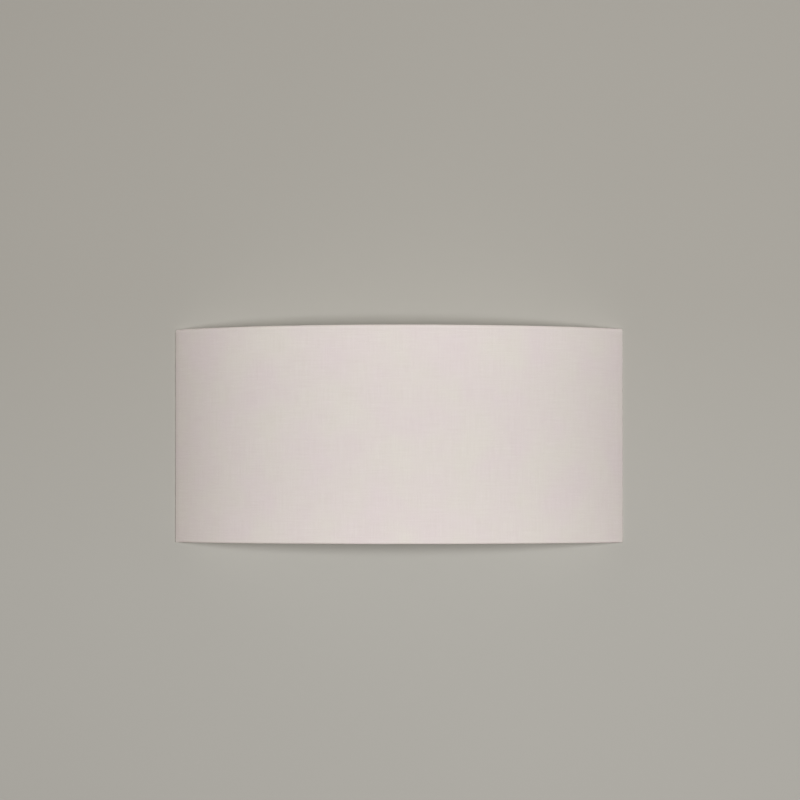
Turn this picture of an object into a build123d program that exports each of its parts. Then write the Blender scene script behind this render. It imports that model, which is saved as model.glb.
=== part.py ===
from build123d import *
import os
from math import asin, cos, degrees, radians, sin, sqrt

# Fabric shade wall light: a shallow half drum of woven fabric on a welded wire frame,
# hung on a pressed steel wall box that carries two upright lampholders.
# Millimetres. +Z is up, -Y faces the room and the wall is the plane y = 0.
# The origin is the middle of the wall bracket's rear face, level with the shade's middle.

# ---------------------------------------------------------------- driving dimensions
# Shade, overall
shade_width = 380.0  # over the fabric, side to side
shade_height = 181.0  # over the rolled top and bottom edges
shade_projection = 100.0  # wall to the front of the fabric
wall_gap = 1.0  # air between the wall and the shade's rear edges

# Shade, cloth and wire
fabric_t = 0.45  # woven fabric
liner_t = 0.5  # stiff plastic liner that the fabric is laminated to
glue_t = 0.1  # film of adhesive between fabric, liner and wire
wire_d = 3.0  # frame wire
hem_wrap = 250.0  # how far round a wire the fabric is rolled, in degrees
hem_setback = 6.0  # the tucked edge stops this far short of each corner
weld_gap = 0.05  # play at a welded joint
notch_gap = 0.3  # fabric snipped back round each rear bar

# Fixing straps
strap_width = 16.0
strap_t = 1.5
strap_corner_r = 5.0
slot_play = 0.25  # slot over the stud, each side

# Wall box
box_width = 200.0
box_height = 72.0
box_depth = 22.0  # wall to its front face
box_t = 1.0
box_corner_r = 8.0
box_press_r = 2.5  # radius pressed round its front edge
rim_gap = 0.5  # its rim stays clear of an uneven wall
slide_gap = 0.3  # running clearance of each flat face that the shade slides past

# Wall bracket
bracket_length = 184.0
bracket_width = 24.0
bracket_t = 2.0
bracket_corner_r = 5.0
wall_slot_spacing = 120.0
wall_slot_length = 12.0
wall_slot_width = 5.2
box_stud_x = 84.0
box_stud_d = 4.0
earth_x = 34.0

# Cable bush in the bracket
cable_bore_d = 8.0
bush_shank_d = 12.0
bush_flange_d = 16.0
bush_flange_t = 1.5

# Small threads and plain fasteners
thread_play = 0.05  # radial, between a screw and what it turns in
hole_play = 0.25  # radial, round a screw that passes through
nut_across = 7.0
nut_t = 3.2
washer_t = 0.8
rivet_d = 3.2
rivet_head_d = 6.0
rivet_head_t = 1.2
rivet_head_round = 1.0
rivet_tail_d = 4.5
rivet_tail_t = 2.4
rivet_tail_round = 0.8
small_screw_d = 3.0
small_head_d = 4.9
pan_head_d = 7.0
pan_head_t = 2.2

# Earth tags
tag_d = 8.0
tag_t = 0.8
tag_neck = 7.0
tag_barrel_d = 3.6
tag_barrel_length = 6.0
box_earth_z = -22.0

# Thumbscrews
thumb_d = 4.0
thumb_knob_d = 11.0
thumb_knob_t = 6.0
thumb_collar_d = 8.0
thumb_collar_t = 1.2
thumb_washer_d = 9.0
thumb_flutes = 20
thumb_flute_r = 0.7
thumb_end = 1.5  # stud showing past its nut
thumb_tip_chamfer = 0.5
thumb_cap_t = 1.2  # brass left over the stud's end, in the knob

# Lamp brackets
lamp_x = 62.0
lamp_bracket_width = 30.0
lamp_bracket_t = 1.5
lamp_fold_r = 1.5  # inside the fold
lamp_shelf_corner_r = 10.0
lamp_leg_corner_r = 5.0
lamp_leg_top = -6.0
lamp_shelf_end = 17.0  # shelf in front of the lamp's axis
rivet_pitch = 18.0
rivet_rows = (-14.0, -27.0)

# Lampholders, small Edison screw, 14 mm
holder_base_h = 14.0
holder_base_d = 25.0
holder_foot = 1.5  # bevel round its foot
holder_well_h = 3.0  # room for the wire ends over the nipple
holder_skirt_h = 26.0
holder_skirt_d = 27.0
holder_lip_d = 18.0
holder_ribs = 20
holder_rib_r = 0.6
holder_mouth = 2.0  # bevel round the skirt's foot and mouth
shell_d = 15.0  # outside of the screw shell
shell_t = 0.3
shell_h = 16.0
shell_drop = 4.0  # top of the shell under the skirt's rim
nipple_d = 10.0
nipple_bore_d = 7.2
nipple_above = 8.0  # into the holder
nipple_below = 9.0  # under the shelf
nipple_nut_across = 14.0
nipple_nut_t = 3.0
lock_washer_d = 16.0
lock_washer_teeth = 12
lock_washer_cut = 1.2  # width of the cut between two teeth
lock_washer_cut_depth = 0.8
contact_t = 0.4
contact_rise = 1.7
contact_width = 4.0
contact_inset = 1.0  # its end stays clear of the shell

# Bulbs, golf ball
bulb_d = 45.0
bulb_length = 78.0
bulb_cap_d = 13.8
bulb_cap_h = 20.0
bulb_dome_t = 1.2
bulb_seat_gap = 0.3  # tip of the bulb over the centre contact
bulb_insulator_h = 3.3
bulb_tip_h = 1.2
bulb_tip_d = 4.8
bulb_tip_round = 1.0
bulb_tip_rim = 0.2  # insulator showing round the tip
bulb_cap_t = 0.6
bulb_neck_d = 17.0
bulb_neck_h = 3.0
bulb_dome_drop = 11.5  # the dome starts this far under the ball's centre
board_t = 1.6
board_gap = 1.0  # round the board, inside the dome
chip_count = 8
chip_ring_d = 22.0
chip_length = 3.5
chip_width = 2.8
chip_t = 0.8

# Terminal block, one pole over another
pole_pitch = 8.5
pole_length = 21.0
pole_r = 4.0
tower_r = 2.6
tower_reach = 6.0  # pole's centre to the top of a screw tower
tower_spacing = 8.0
tower_recess = 1.0  # screw's head under the tower's rim
grub_slot_width = 0.6
grub_slot_depth = 0.6
barrel_d = 4.6
barrel_bore_d = 2.8
barrel_length = 15.0
block_z = 19.0
block_boss_r = 3.2  # boss between two poles, under the fixing screw's head
block_foot_t = 2.0  # between the box and the nearest pole

# Wires
wire_lead_d = 2.2
lead_spacing = 2.5
sleeve_d = 6.0
sleeve_bore_d = 5.2
lead_bend_r = 12.0
loop_clear = 9.0  # sleeve over the path of the shade's lower rear bar
bush_wall = 1.2  # wire bush, shank and flange
bush_inside = 2.0  # its shank above the box's floor
sleeve_inside = 6.0  # sleeve showing in the box
wire_in_well = 1.0  # wire past the nipple, in the holder's well

# ---------------------------------------------------------------- derived sizes
wire_r = wire_d / 2
show_side = wire_r + glue_t + liner_t + glue_t  # wire's centre to the fabric, past the liner
back_side = wire_r + glue_t  # wire's centre to the fabric on the inside
roll_in = (show_side + back_side) / 2  # inner radius of the rolled hem
roll_out = roll_in + fabric_t
roll_shift = (show_side - back_side) / 2  # the roll's centre stands outside the wire's

# The corner is where the centre line of the side roll stands in plan. The arc in plan
# runs through both corners and touches the front.
corner_x = shade_width / 2 - roll_out
corner_y = -(wall_gap + roll_out)
sagitta = shade_projection - wall_gap - 2 * roll_out
roll_radius = (corner_x**2 + sagitta**2) / (2 * sagitta)
arc_y = roll_radius - (shade_projection - roll_out)
half_angle = degrees(asin(corner_x / roll_radius))
fabric_r = roll_radius + roll_out
liner_r = fabric_r - fabric_t - glue_t  # outside of the liner
frame_r = roll_radius - roll_shift  # centre line of the ring wires
ring_z = shade_height / 2 - roll_out
post_x = frame_r * sin(radians(half_angle))
post_y = arc_y - frame_r * cos(radians(half_angle))

strap_x = box_width / 2 + slide_gap
strap_rear_y = post_y - wire_r - weld_gap
strap_y = strap_rear_y - strap_width / 2
thumb_washer_x = strap_x + strap_t + slide_gap
thumb_knob_x = thumb_washer_x + washer_t + weld_gap

liner_inside_y = arc_y - sqrt((liner_r - liner_t) ** 2 - lamp_x**2)
lamp_y = (liner_inside_y - box_depth) / 2  # midway between the box and the shade
loop_z = -(ring_z - wire_r - loop_clear - sleeve_d / 2)
shelf_z = loop_z + 2 * lead_bend_r
holder_floor_z = shelf_z + holder_base_h
holder_rim_z = holder_floor_z + holder_skirt_h
bulb_z = holder_floor_z + contact_rise + contact_t + bulb_seat_gap
bulb_cap_z = bulb_z + bulb_tip_h + bulb_insulator_h
bulb_neck_z = bulb_cap_z + bulb_cap_h
ball_z = bulb_z + bulb_length - bulb_d / 2

box_front_inside_y = -(box_depth - box_t)
box_floor_z = -box_height / 2
wire_y = box_front_inside_y + block_foot_t + pole_r
pole_heights = [block_z + (row - 1) * pole_pitch for row in range(3)]  # earth, neutral, live
earth_z, neutral_z, live_z = pole_heights
block_screw_z = (earth_z + neutral_z) / 2
wire_bush_r = sleeve_d / 2 + thread_play + bush_wall

shade_axis = (0.0, arc_y)
corner_axis = (corner_x, corner_y)
lamp_axis = (lamp_x, lamp_y)


# ---------------------------------------------------------------- helpers
def radial_plane(axis_xy, angle):
    """Upright plane from a vertical axis: local x runs outwards at a plan angle from -Y, local y up."""
    outwards = Vector(sin(radians(angle)), -cos(radians(angle)), 0)
    return Plane(origin=(*axis_xy, 0), x_dir=outwards, z_dir=outwards.cross(Vector(0, 0, 1)))


def turned(section, axis_xy, start=0.0, end=360.0):
    """A section of radius and height, swept about a vertical axis between two plan angles."""
    face = radial_plane(axis_xy, start) * section
    return revolve(face, Axis((*axis_xy, 0), (0, 0, 1)), end - start)


def facing_room(y):
    """Upright plane at y: local x is X, local y is Z, and it extrudes towards the room."""
    return Plane(origin=(0, y, 0), x_dir=(1, 0, 0), z_dir=(0, -1, 0))


def facing_right(x):
    """Upright plane at x: local x is Y, local y is Z, and it extrudes towards +X."""
    return Plane(origin=(x, 0, 0), x_dir=(0, 1, 0), z_dir=(1, 0, 0))


def lathe(points, axis_xy):
    """A turned piece from a closed outline of (radius, height) points."""
    return turned(make_face(Polyline(*points, close=True)), axis_xy)


def band(inner, outer, low, high):
    """A rectangle of the section, between two radii and two heights."""
    return Pos((inner + outer) / 2, (low + high) / 2) * Rectangle(outer - inner, high - low)


def hem_section(centre_r, start, end):
    """Fabric rolled round a wire at ring height: 0 degrees faces outwards and 90 up."""
    outer = CenterArc((centre_r, ring_z), roll_out, start, end - start)
    inner = CenterArc((centre_r, ring_z), roll_in, start, end - start)
    return make_face([outer, Line(outer @ 1, inner @ 1), inner, Line(inner @ 0, outer @ 0)])


def rod_y(x, z, radius, y_from, y_to):
    """Round bar along Y."""
    return extrude(facing_room(max(y_from, y_to)) * Pos(x, z) * Circle(radius), abs(y_to - y_from))


def rod_x(y, z, radius, x_from, x_to):
    """Round bar along X."""
    return extrude(facing_right(min(x_from, x_to)) * Pos(y, z) * Circle(radius), abs(x_to - x_from))


def hexagon(across):
    return RegularPolygon(across / 2, 6, major_radius=False)


def upside_down(piece):
    return mirror(piece, about=Plane.XY)


def other_side(piece):
    return mirror(piece, about=Plane.YZ)


def both_sides(piece):
    """The piece on the right and its mirror image on the left, as two solids."""
    return Part() + [piece, other_side(piece)]


# ---------------------------------------------------------------- shade
def shade_fabric():
    """One skin of cloth, rolled over the ring wires and round the corner posts."""
    tuck_angle = half_angle - degrees(hem_setback / roll_radius)
    skin = turned(band(fabric_r - fabric_t, fabric_r, -ring_z, ring_z), shade_axis, -half_angle, half_angle)
    roll = turned(hem_section(roll_radius, 0, 180), shade_axis, -half_angle, half_angle)
    tuck = turned(hem_section(roll_radius, 180, hem_wrap), shade_axis, -tuck_angle, tuck_angle)
    side_end = half_angle + 180
    side_reach = ring_z - hem_setback
    side_roll = turned(band(roll_in, roll_out, -ring_z, ring_z), corner_axis, half_angle, side_end)
    side_tuck_section = band(roll_in, roll_out, -side_reach, side_reach)
    side_tuck = turned(side_tuck_section, corner_axis, side_end, half_angle + hem_wrap)
    cap = turned(hem_section(0, 0, 90), corner_axis, half_angle, side_end)
    side = side_roll + side_tuck + cap + upside_down(cap)
    cloth = skin + roll + upside_down(roll) + tuck + upside_down(tuck) + side + other_side(side)
    notch = rod_x(post_y, ring_z, wire_r + notch_gap, -post_x, post_x)
    return cloth - notch - upside_down(notch)


def shade_liner():
    """Stiff sheet behind the fabric, from ring to ring and from post to post."""
    return turned(band(liner_r - liner_t, liner_r, -ring_z, ring_z), shade_axis, -half_angle, half_angle)


def mitre_block(rear_side):
    """Block on one side of the mitre between ring arc and rear bar, at the upper right post."""
    turn = radians(half_angle / 2)
    towards_bar = Vector(-sin(turn), cos(turn), 0)
    facing = towards_bar if rear_side else -towards_bar
    start = Vector(post_x, post_y, ring_z) - facing * (weld_gap / 2)
    size = 6 * wire_d
    block = Box(size, size, size, align=(Align.CENTER, Align.CENTER, Align.MIN))
    return Plane(origin=start, x_dir=(0, 0, 1), z_dir=facing) * block


def top_ring_arc():
    """Curved ring wire, mitred against the rear bar and butted on the corner posts."""
    end = half_angle - degrees((wire_r + weld_gap) / frame_r)
    arc = turned(Pos(frame_r, ring_z) * Circle(wire_r), shade_axis, -end, end)
    block = mitre_block(rear_side=True)
    return arc - block - other_side(block)


def top_rear_bar():
    """Straight wire that closes the ring along the wall."""
    end = post_x - wire_r - weld_gap
    bar = rod_x(post_y, ring_z, wire_r, -end, end)
    block = mitre_block(rear_side=False)
    return bar - block - other_side(block)


def right_corner_post():
    """Upright wire with rounded ends that joins the two rings at the corner."""
    side = Line((wire_r, -ring_z), (wire_r, ring_z))
    top = CenterArc((0, ring_z), wire_r, 0, 90)
    bottom = CenterArc((0, -ring_z), wire_r, -90, 90)
    outline = make_face([bottom, side, top, Line(top @ 1, bottom @ 0)])
    return turned(outline, (post_x, post_y))


def right_fixing_strap():
    """Flat bar between the rear bars, with a slot open to the rear that slips over the stud."""
    outline = Pos(strap_y, 0) * Rectangle(strap_width, 2 * (ring_z + wire_r))
    front = outline.vertices().sort_by(Axis.X)[:2]
    outline = fillet(front, strap_corner_r)
    slot_r = thumb_d / 2 + slot_play
    slot = Pos(strap_y, 0) * Circle(slot_r)
    slot += Pos(strap_y, 0) * Rectangle(strap_width, 2 * slot_r, align=(Align.MIN, Align.CENTER))
    mouth_r = strap_corner_r - slot_r
    blank = outline - slot
    lips = [v for v in blank.vertices() if abs(v.Y) < slot_r + weld_gap and v.X > strap_y + slot_r]
    blank = fillet(lips, mouth_r)
    return extrude(facing_right(strap_x) * blank, strap_t)


# ---------------------------------------------------------------- wall bracket and its fittings
def wall_bracket():
    """Flat strip with two slots for the wall screws and a middle hole for the cable."""
    blank = RectangleRounded(bracket_length, bracket_width, bracket_corner_r)
    slots = GridLocations(wall_slot_spacing, 0, 2, 1) * SlotOverall(wall_slot_length, wall_slot_width)
    studs = GridLocations(2 * box_stud_x, 0, 2, 1) * Circle(box_stud_d / 2)
    earth = Pos(earth_x, 0) * Circle(box_stud_d / 2 + thread_play)
    blank -= slots
    blank -= studs
    blank -= [Circle(bush_shank_d / 2), earth]
    return extrude(facing_room(0) * blank, bracket_t)


def cable_bush():
    """Insulating bush that the supply cable comes through."""
    bore = rod_y(0, 0, cable_bore_d / 2, 0, -(bracket_t + bush_flange_t))
    shank = rod_y(0, 0, bush_shank_d / 2, 0, -bracket_t)
    flange = rod_y(0, 0, bush_flange_d / 2, -bracket_t, -(bracket_t + bush_flange_t))
    front = flange.edges().sort_by(Axis.Y)[0]
    return shank + fillet(front, bush_flange_t / 2) - bore


def box_studs():
    """Studs pressed into the bracket, which the wall box hangs on."""
    reach = box_depth + washer_t + nut_t + thumb_end
    return both_sides(rod_y(box_stud_x, 0, box_stud_d / 2, 0, -reach))


def box_washers():
    seat = -box_depth
    ring = rod_y(box_stud_x, 0, thumb_washer_d / 2, seat, seat - washer_t)
    hole = rod_y(box_stud_x, 0, box_stud_d / 2 + thread_play, seat, seat - washer_t)
    return both_sides(ring - hole)


def dome_nuts():
    """Cap nuts that hold the wall box on its studs."""
    seat = -(box_depth + washer_t)
    flats = extrude(facing_room(seat) * Pos(box_stud_x, 0) * hexagon(nut_across), nut_t)
    dome_r = nut_across / 2 - thread_play
    centre = seat - nut_t
    dome = Pos(box_stud_x, centre, 0) * Sphere(dome_r)
    dome &= rod_y(box_stud_x, 0, dome_r + thread_play, centre, centre - dome_r)
    thread = rod_y(box_stud_x, 0, box_stud_d / 2 + thread_play, seat, centre - thumb_end - weld_gap)
    return both_sides(flats + dome - thread)


# ---------------------------------------------------------------- wall box
def wall_box():
    """Pressed steel tray with its open side to the wall."""
    rim = -rim_gap
    depth = box_depth - rim_gap
    outside = extrude(facing_room(rim) * RectangleRounded(box_width, box_height, box_corner_r), depth)
    outside = fillet(outside.faces().sort_by(Axis.Y)[0].edges(), box_press_r)
    inner_w = box_width - 2 * box_t
    inner_h = box_height - 2 * box_t
    cavity_section = RectangleRounded(inner_w, inner_h, box_corner_r - box_t)
    cavity = extrude(facing_room(rim) * cavity_section, depth - box_t)
    cavity = fillet(cavity.faces().sort_by(Axis.Y)[0].edges(), box_press_r - box_t)
    tray = outside - cavity
    through = -(box_depth + box_t)
    stud_r = box_stud_d / 2 + hole_play
    for x in (-box_stud_x, box_stud_x):
        tray -= rod_y(x, 0, stud_r, box_front_inside_y + box_t, through)
    for x, z in rivet_places():
        for side in (-1, 1):
            tray -= rod_y(side * x, z, rivet_d / 2, box_front_inside_y + box_t, through)
    tray -= rod_y(0, block_screw_z, small_screw_d / 2 + hole_play, box_front_inside_y + box_t, through)
    tray -= rod_y(-earth_x, box_earth_z, box_stud_d / 2 + hole_play, box_front_inside_y + box_t, through)
    thumb_r = thumb_d / 2 + hole_play
    tray -= rod_x(strap_y, 0, thumb_r, -box_width, box_width)
    bush_hole = Pos(lamp_x, wire_y, box_floor_z) * Cylinder(wire_bush_r + thread_play, 4 * box_t)
    return tray - bush_hole - other_side(bush_hole)


def side_nuts():
    """Nuts welded inside the box's end walls for the thumbscrews."""
    face = box_width / 2 - box_t
    nut = extrude(facing_right(face - nut_t) * Pos(strap_y, 0) * hexagon(nut_across), nut_t)
    return both_sides(nut - rod_x(strap_y, 0, thumb_d / 2 + thread_play, face - nut_t, face))


# ---------------------------------------------------------------- thumbscrews
def right_thumb_washer():
    end = thumb_washer_x + washer_t
    ring = rod_x(strap_y, 0, thumb_washer_d / 2, thumb_washer_x, end)
    return ring - rod_x(strap_y, 0, thumb_d / 2 + thread_play, thumb_washer_x, end)


def right_thumb_stud():
    """Threaded stud, from the knob through washer, strap and box wall into its nut."""
    start = box_width / 2 - box_t - nut_t - thumb_end
    stud = rod_x(strap_y, 0, thumb_d / 2, start, thumb_knob_x + thumb_knob_t - thumb_cap_t)
    tip = stud.edges().sort_by(Axis.X)[0]
    return chamfer(tip, thumb_tip_chamfer)


def right_thumb_knob():
    """Turned brass knob with a fluted grip and a plain collar against the washer."""
    end = thumb_knob_x + thumb_knob_t
    grip_start = thumb_knob_x + thumb_collar_t
    grip = rod_x(strap_y, 0, thumb_knob_d / 2, grip_start, end)
    grip = chamfer(grip.edges().filter_by(GeomType.CIRCLE), thumb_flute_r)
    flute = rod_x(strap_y + thumb_knob_d / 2, 0, thumb_flute_r, grip_start, end)
    centre = Axis((0, strap_y, 0), (1, 0, 0))
    flutes = [flute.rotate(centre, step * 360 / thumb_flutes) for step in range(thumb_flutes)]
    collar = rod_x(strap_y, 0, thumb_collar_d / 2, thumb_knob_x, grip_start)
    bore = rod_x(strap_y, 0, thumb_d / 2, thumb_knob_x, end - thumb_cap_t)
    return grip - flutes + collar - bore


# ---------------------------------------------------------------- lamp brackets
def rivet_places():
    """The rivets of the right-hand lamp bracket, as (x, z): two above and one below."""
    upper, lower = rivet_rows
    half = rivet_pitch / 2
    return [(lamp_x - half, upper), (lamp_x + half, upper), (lamp_x, lower)]


def right_lamp_bracket():
    """Strip folded once: an upright leg riveted to the box and a shelf for the lampholder."""
    back = -box_depth
    front = lamp_y - lamp_shelf_end
    inner = back - lamp_bracket_t
    under = shelf_z - lamp_bracket_t
    outline = Polyline(
        (back, lamp_leg_top),
        (back, under),
        (front, under),
        (front, shelf_z),
        (inner, shelf_z),
        (inner, lamp_leg_top),
        close=True,
    )
    left = lamp_x - lamp_bracket_width / 2
    strip = extrude(facing_right(left) * make_face(outline), lamp_bracket_width)
    outer_fold = strip.edges().filter_by(Axis.X).sort_by_distance((lamp_x, back, under))[0]
    strip = fillet(outer_fold, lamp_fold_r + lamp_bracket_t)
    inner_fold = strip.edges().filter_by(Axis.X).sort_by_distance((lamp_x, inner, shelf_z))[0]
    strip = fillet(inner_fold, lamp_fold_r)
    shelf_corners = strip.edges().filter_by(Axis.Z).sort_by(Axis.Y)[:2]
    strip = fillet(shelf_corners, lamp_shelf_corner_r)
    leg_corners = strip.edges().filter_by(Axis.Y).sort_by(Axis.Z)[-2:]
    strip = fillet(leg_corners, lamp_leg_corner_r)
    strip -= Pos(lamp_x, lamp_y, shelf_z) * Cylinder(nipple_d / 2 + hole_play, 4 * lamp_bracket_t)
    for x, z in rivet_places():
        strip -= rod_y(x, z, rivet_d / 2, back + box_t, inner - box_t)
    return strip


def bracket_rivets():
    """Blind rivets: a low domed head in front, and a swelled tail inside the box."""
    head_y = -(box_depth + lamp_bracket_t)
    tail_y = box_front_inside_y
    rivets = []
    for x, z in rivet_places():
        head = rod_y(x, z, rivet_head_d / 2, head_y, head_y - rivet_head_t)
        head = fillet(head.edges().sort_by(Axis.Y)[0], rivet_head_round)
        tail = rod_y(x, z, rivet_tail_d / 2, tail_y + rivet_tail_t, tail_y)
        tail = fillet(tail.edges().sort_by(Axis.Y)[-1], rivet_tail_round)
        rivets.append(head + rod_y(x, z, rivet_d / 2, tail_y, head_y) + tail)
    return Part() + rivets + [other_side(rivet) for rivet in rivets]


# ---------------------------------------------------------------- lampholders
def nipples():
    """Hollow threaded tubes that carry the holders and lead the wires up into them."""
    low = shelf_z - lamp_bracket_t - nipple_below
    tube = turned(band(nipple_bore_d / 2, nipple_d / 2, low, shelf_z + nipple_above), lamp_axis)
    return both_sides(tube)


def lock_washers():
    """Toothed washers between shelf and nut."""
    high = shelf_z - lamp_bracket_t
    inner = nipple_d / 2 + thread_play
    ring = turned(band(inner, lock_washer_d / 2, high - washer_t, high), lamp_axis)
    cut = Box(lock_washer_cut, 2 * lock_washer_cut_depth, 2 * washer_t)
    for step in range(lock_washer_teeth):
        turn = Rot(0, 0, step * 360 / lock_washer_teeth)
        ring -= Pos(*lamp_axis, high - washer_t / 2) * turn * Pos(0, lock_washer_d / 2) * cut
    return both_sides(ring)


def nipple_nuts():
    high = shelf_z - lamp_bracket_t - washer_t
    nut = Pos(*lamp_axis, high - nipple_nut_t) * extrude(hexagon(nipple_nut_across), nipple_nut_t)
    bore = Pos(*lamp_axis, high) * Cylinder(nipple_d / 2 + thread_play, 3 * nipple_nut_t)
    return both_sides(nut - bore)


def right_holder_base():
    """Moulded base: tapped for the nipple, hollow above it for the wire ends."""
    outer = holder_base_d / 2
    thread = nipple_d / 2 + thread_play
    well = nipple_bore_d / 2
    well_top = shelf_z + nipple_above + holder_well_h
    points = [
        (thread, shelf_z),
        (outer - holder_foot, shelf_z),
        (outer, shelf_z + holder_foot),
        (outer, holder_floor_z),
        (0, holder_floor_z),
        (0, well_top),
        (well, well_top),
        (well, shelf_z + nipple_above),
        (thread, shelf_z + nipple_above),
    ]
    return lathe(points, lamp_axis)


def right_holder_skirt():
    """Moulded sleeve round the screw shell, ribbed for grip, with a flared mouth."""
    seat_r = shell_d / 2 + thread_play
    outer = holder_skirt_d / 2
    lip = holder_lip_d / 2
    points = [
        (seat_r, holder_floor_z),
        (outer - holder_mouth / 2, holder_floor_z),
        (outer, holder_floor_z + holder_mouth),
        (outer, holder_rim_z - holder_mouth),
        (outer - holder_mouth / 2, holder_rim_z),
        (lip, holder_rim_z),
        (lip, holder_rim_z - holder_mouth),
        (seat_r, holder_rim_z - 2 * holder_mouth),
    ]
    skirt = lathe(points, lamp_axis)
    rib_h = holder_skirt_h / 2
    middle = Pos(*lamp_axis, holder_floor_z + rib_h)
    grooves = []
    for step in range(holder_ribs):
        turn = Rot(0, 0, step * 360 / holder_ribs)
        grooves.append(middle * turn * Pos(outer, 0) * Cylinder(holder_rib_r, rib_h))
    return skirt - grooves


def screw_shells():
    """Thin metal shells that the bulb caps screw into."""
    low = holder_rim_z - shell_drop - shell_h
    outer = shell_d / 2
    return both_sides(turned(band(outer - shell_t, outer, low, low + shell_h), lamp_axis))


def centre_contacts():
    """Sprung tongues: flat on the holder's floor, then rising to the middle."""
    foot_end = shell_d / 2 - contact_inset
    top = holder_floor_z + contact_rise
    path = Polyline(
        (-foot_end, holder_floor_z),
        (-foot_end / 2, holder_floor_z),
        (-contact_rise, top),
        (contact_rise, top),
        (contact_rise, top + contact_t),
        (-contact_rise - contact_t / 2, top + contact_t),
        (-foot_end / 2 - contact_t / 2, holder_floor_z + contact_t),
        (-foot_end, holder_floor_z + contact_t),
        close=True,
    )
    side = facing_room(lamp_y + contact_width / 2)
    tongue = extrude(side * Pos(lamp_x, 0) * make_face(path), contact_width)
    return both_sides(tongue)


# ---------------------------------------------------------------- bulbs
def right_bulb_dome():
    """Opal dome: most of a ball, hollow, open below where it meets the housing."""
    radius = bulb_d / 2
    start = degrees(asin(-bulb_dome_drop / radius))
    start_in = degrees(asin(-bulb_dome_drop / (radius - bulb_dome_t)))
    outer = CenterArc((0, ball_z), radius, start, 90 - start)
    inner = CenterArc((0, ball_z), radius - bulb_dome_t, start_in, 90 - start_in)
    outline = make_face([outer, Line(outer @ 1, inner @ 1), inner, Line(inner @ 0, outer @ 0)])
    return turned(outline, lamp_axis)


def right_bulb_housing():
    """White housing that swells from the cap to the dome."""
    top = ball_z - bulb_dome_drop
    rim_r = sqrt((bulb_d / 2) ** 2 - bulb_dome_drop**2)
    neck_r = bulb_neck_d / 2
    low = (neck_r, bulb_neck_z)
    shoulder = (neck_r, bulb_neck_z + bulb_neck_h)
    high = (rim_r, top)
    flare = Spline(shoulder, high, tangents=[(0.0, 1.0), (bulb_dome_drop, rim_r)])
    outline = [Line((0, bulb_neck_z), low), Line(low, shoulder), flare, Line(high, (0, top))]
    outline.append(Line((0, top), (0, bulb_neck_z)))
    return turned(make_face(outline), lamp_axis)


def right_bulb_cap():
    """Plated brass screw cap, closed over the neck."""
    return turned(band(0, bulb_cap_d / 2, bulb_cap_z, bulb_neck_z), lamp_axis)


def right_bulb_insulator():
    """Dark insulator under the cap."""
    low = bulb_z + bulb_tip_h
    low_r = bulb_tip_d / 2 + bulb_tip_rim
    high_r = bulb_cap_d / 2 - bulb_cap_t
    points = [(0, low), (low_r, low), (high_r, bulb_cap_z), (0, bulb_cap_z)]
    return lathe(points, lamp_axis)


def right_bulb_tip():
    """Soldered end contact."""
    high = bulb_z + bulb_tip_h
    tip = turned(band(0, bulb_tip_d / 2, bulb_z, high), lamp_axis)
    return fillet(tip.edges().sort_by(Axis.Z)[0], bulb_tip_round)


def right_led_board():
    """Disc that carries the light-emitting chips, on top of the housing inside the dome."""
    low = ball_z - bulb_dome_drop
    board_r = sqrt((bulb_d / 2 - bulb_dome_t) ** 2 - bulb_dome_drop**2) - board_gap
    board = turned(band(0, board_r, low, low + board_t), lamp_axis)
    chip = Box(chip_width, chip_length, chip_t, align=(Align.CENTER, Align.CENTER, Align.MIN))
    for place in PolarLocations(chip_ring_d / 2, chip_count):
        board += Pos(*lamp_axis, low + board_t) * place * chip
    return board


# ---------------------------------------------------------------- terminal block and wires
def terminal_block():
    """Three-pole connector: a round barrel housing for each pole, with two screw towers."""
    half = pole_length / 2
    towers = (-tower_spacing / 2, tower_spacing / 2)
    web_h = live_z - earth_z
    web = Pos(0, (live_z + earth_z) / 2) * Rectangle(pole_length - pole_r, web_h)
    body = extrude(facing_room(wire_y) * web, wire_y - box_front_inside_y)
    for z in pole_heights:
        body += rod_x(wire_y, z, pole_r, -half, half)
        for x in towers:
            body += rod_y(x, z, tower_r, wire_y + tower_reach, wire_y)
    body += rod_y(0, block_screw_z, block_boss_r, wire_y + pole_r, wire_y)
    for z in pole_heights:
        body -= rod_x(wire_y, z, barrel_d / 2, -barrel_length / 2, barrel_length / 2)
        body -= rod_x(wire_y, z, wire_lead_d / 2 + hole_play, -half, half)
        for x in towers:
            body -= rod_y(x, z, small_screw_d / 2 + thread_play, wire_y + tower_reach, wire_y)
    return body - rod_y(0, block_screw_z, small_screw_d / 2 + thread_play, 0, -box_depth)


def terminal_barrels():
    """Brass barrels that grip the wire ends, one per pole."""
    barrels = []
    half = barrel_length / 2
    for z in pole_heights:
        barrel = rod_x(wire_y, z, barrel_d / 2, -half, half)
        barrel -= rod_x(wire_y, z, barrel_bore_d / 2, -half, half)
        for x in (-tower_spacing / 2, tower_spacing / 2):
            barrel -= rod_y(x, z, small_screw_d / 2, wire_y + tower_reach, wire_y)
        barrels.append(barrel)
    return Part() + barrels


def terminal_screws():
    """Slotted grub screws down the towers."""
    screws = []
    head_y = wire_y + tower_reach - tower_recess
    slot = Box(small_screw_d, 2 * grub_slot_depth, grub_slot_width)
    for z in pole_heights:
        for x in (-tower_spacing / 2, tower_spacing / 2):
            screw = rod_y(x, z, small_screw_d / 2, head_y, wire_y + barrel_bore_d / 4)
            screw -= Pos(x, head_y, z) * slot
            screws.append(screw)
    return Part() + screws


def block_screw():
    """Screw that holds the block to the wall box."""
    seat = wire_y + pole_r
    head = rod_y(0, block_screw_z, small_head_d / 2, seat + pan_head_t, seat)
    shank = rod_y(0, block_screw_z, small_screw_d / 2, seat, -(box_depth + nut_t + weld_gap))
    return head + shank


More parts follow.
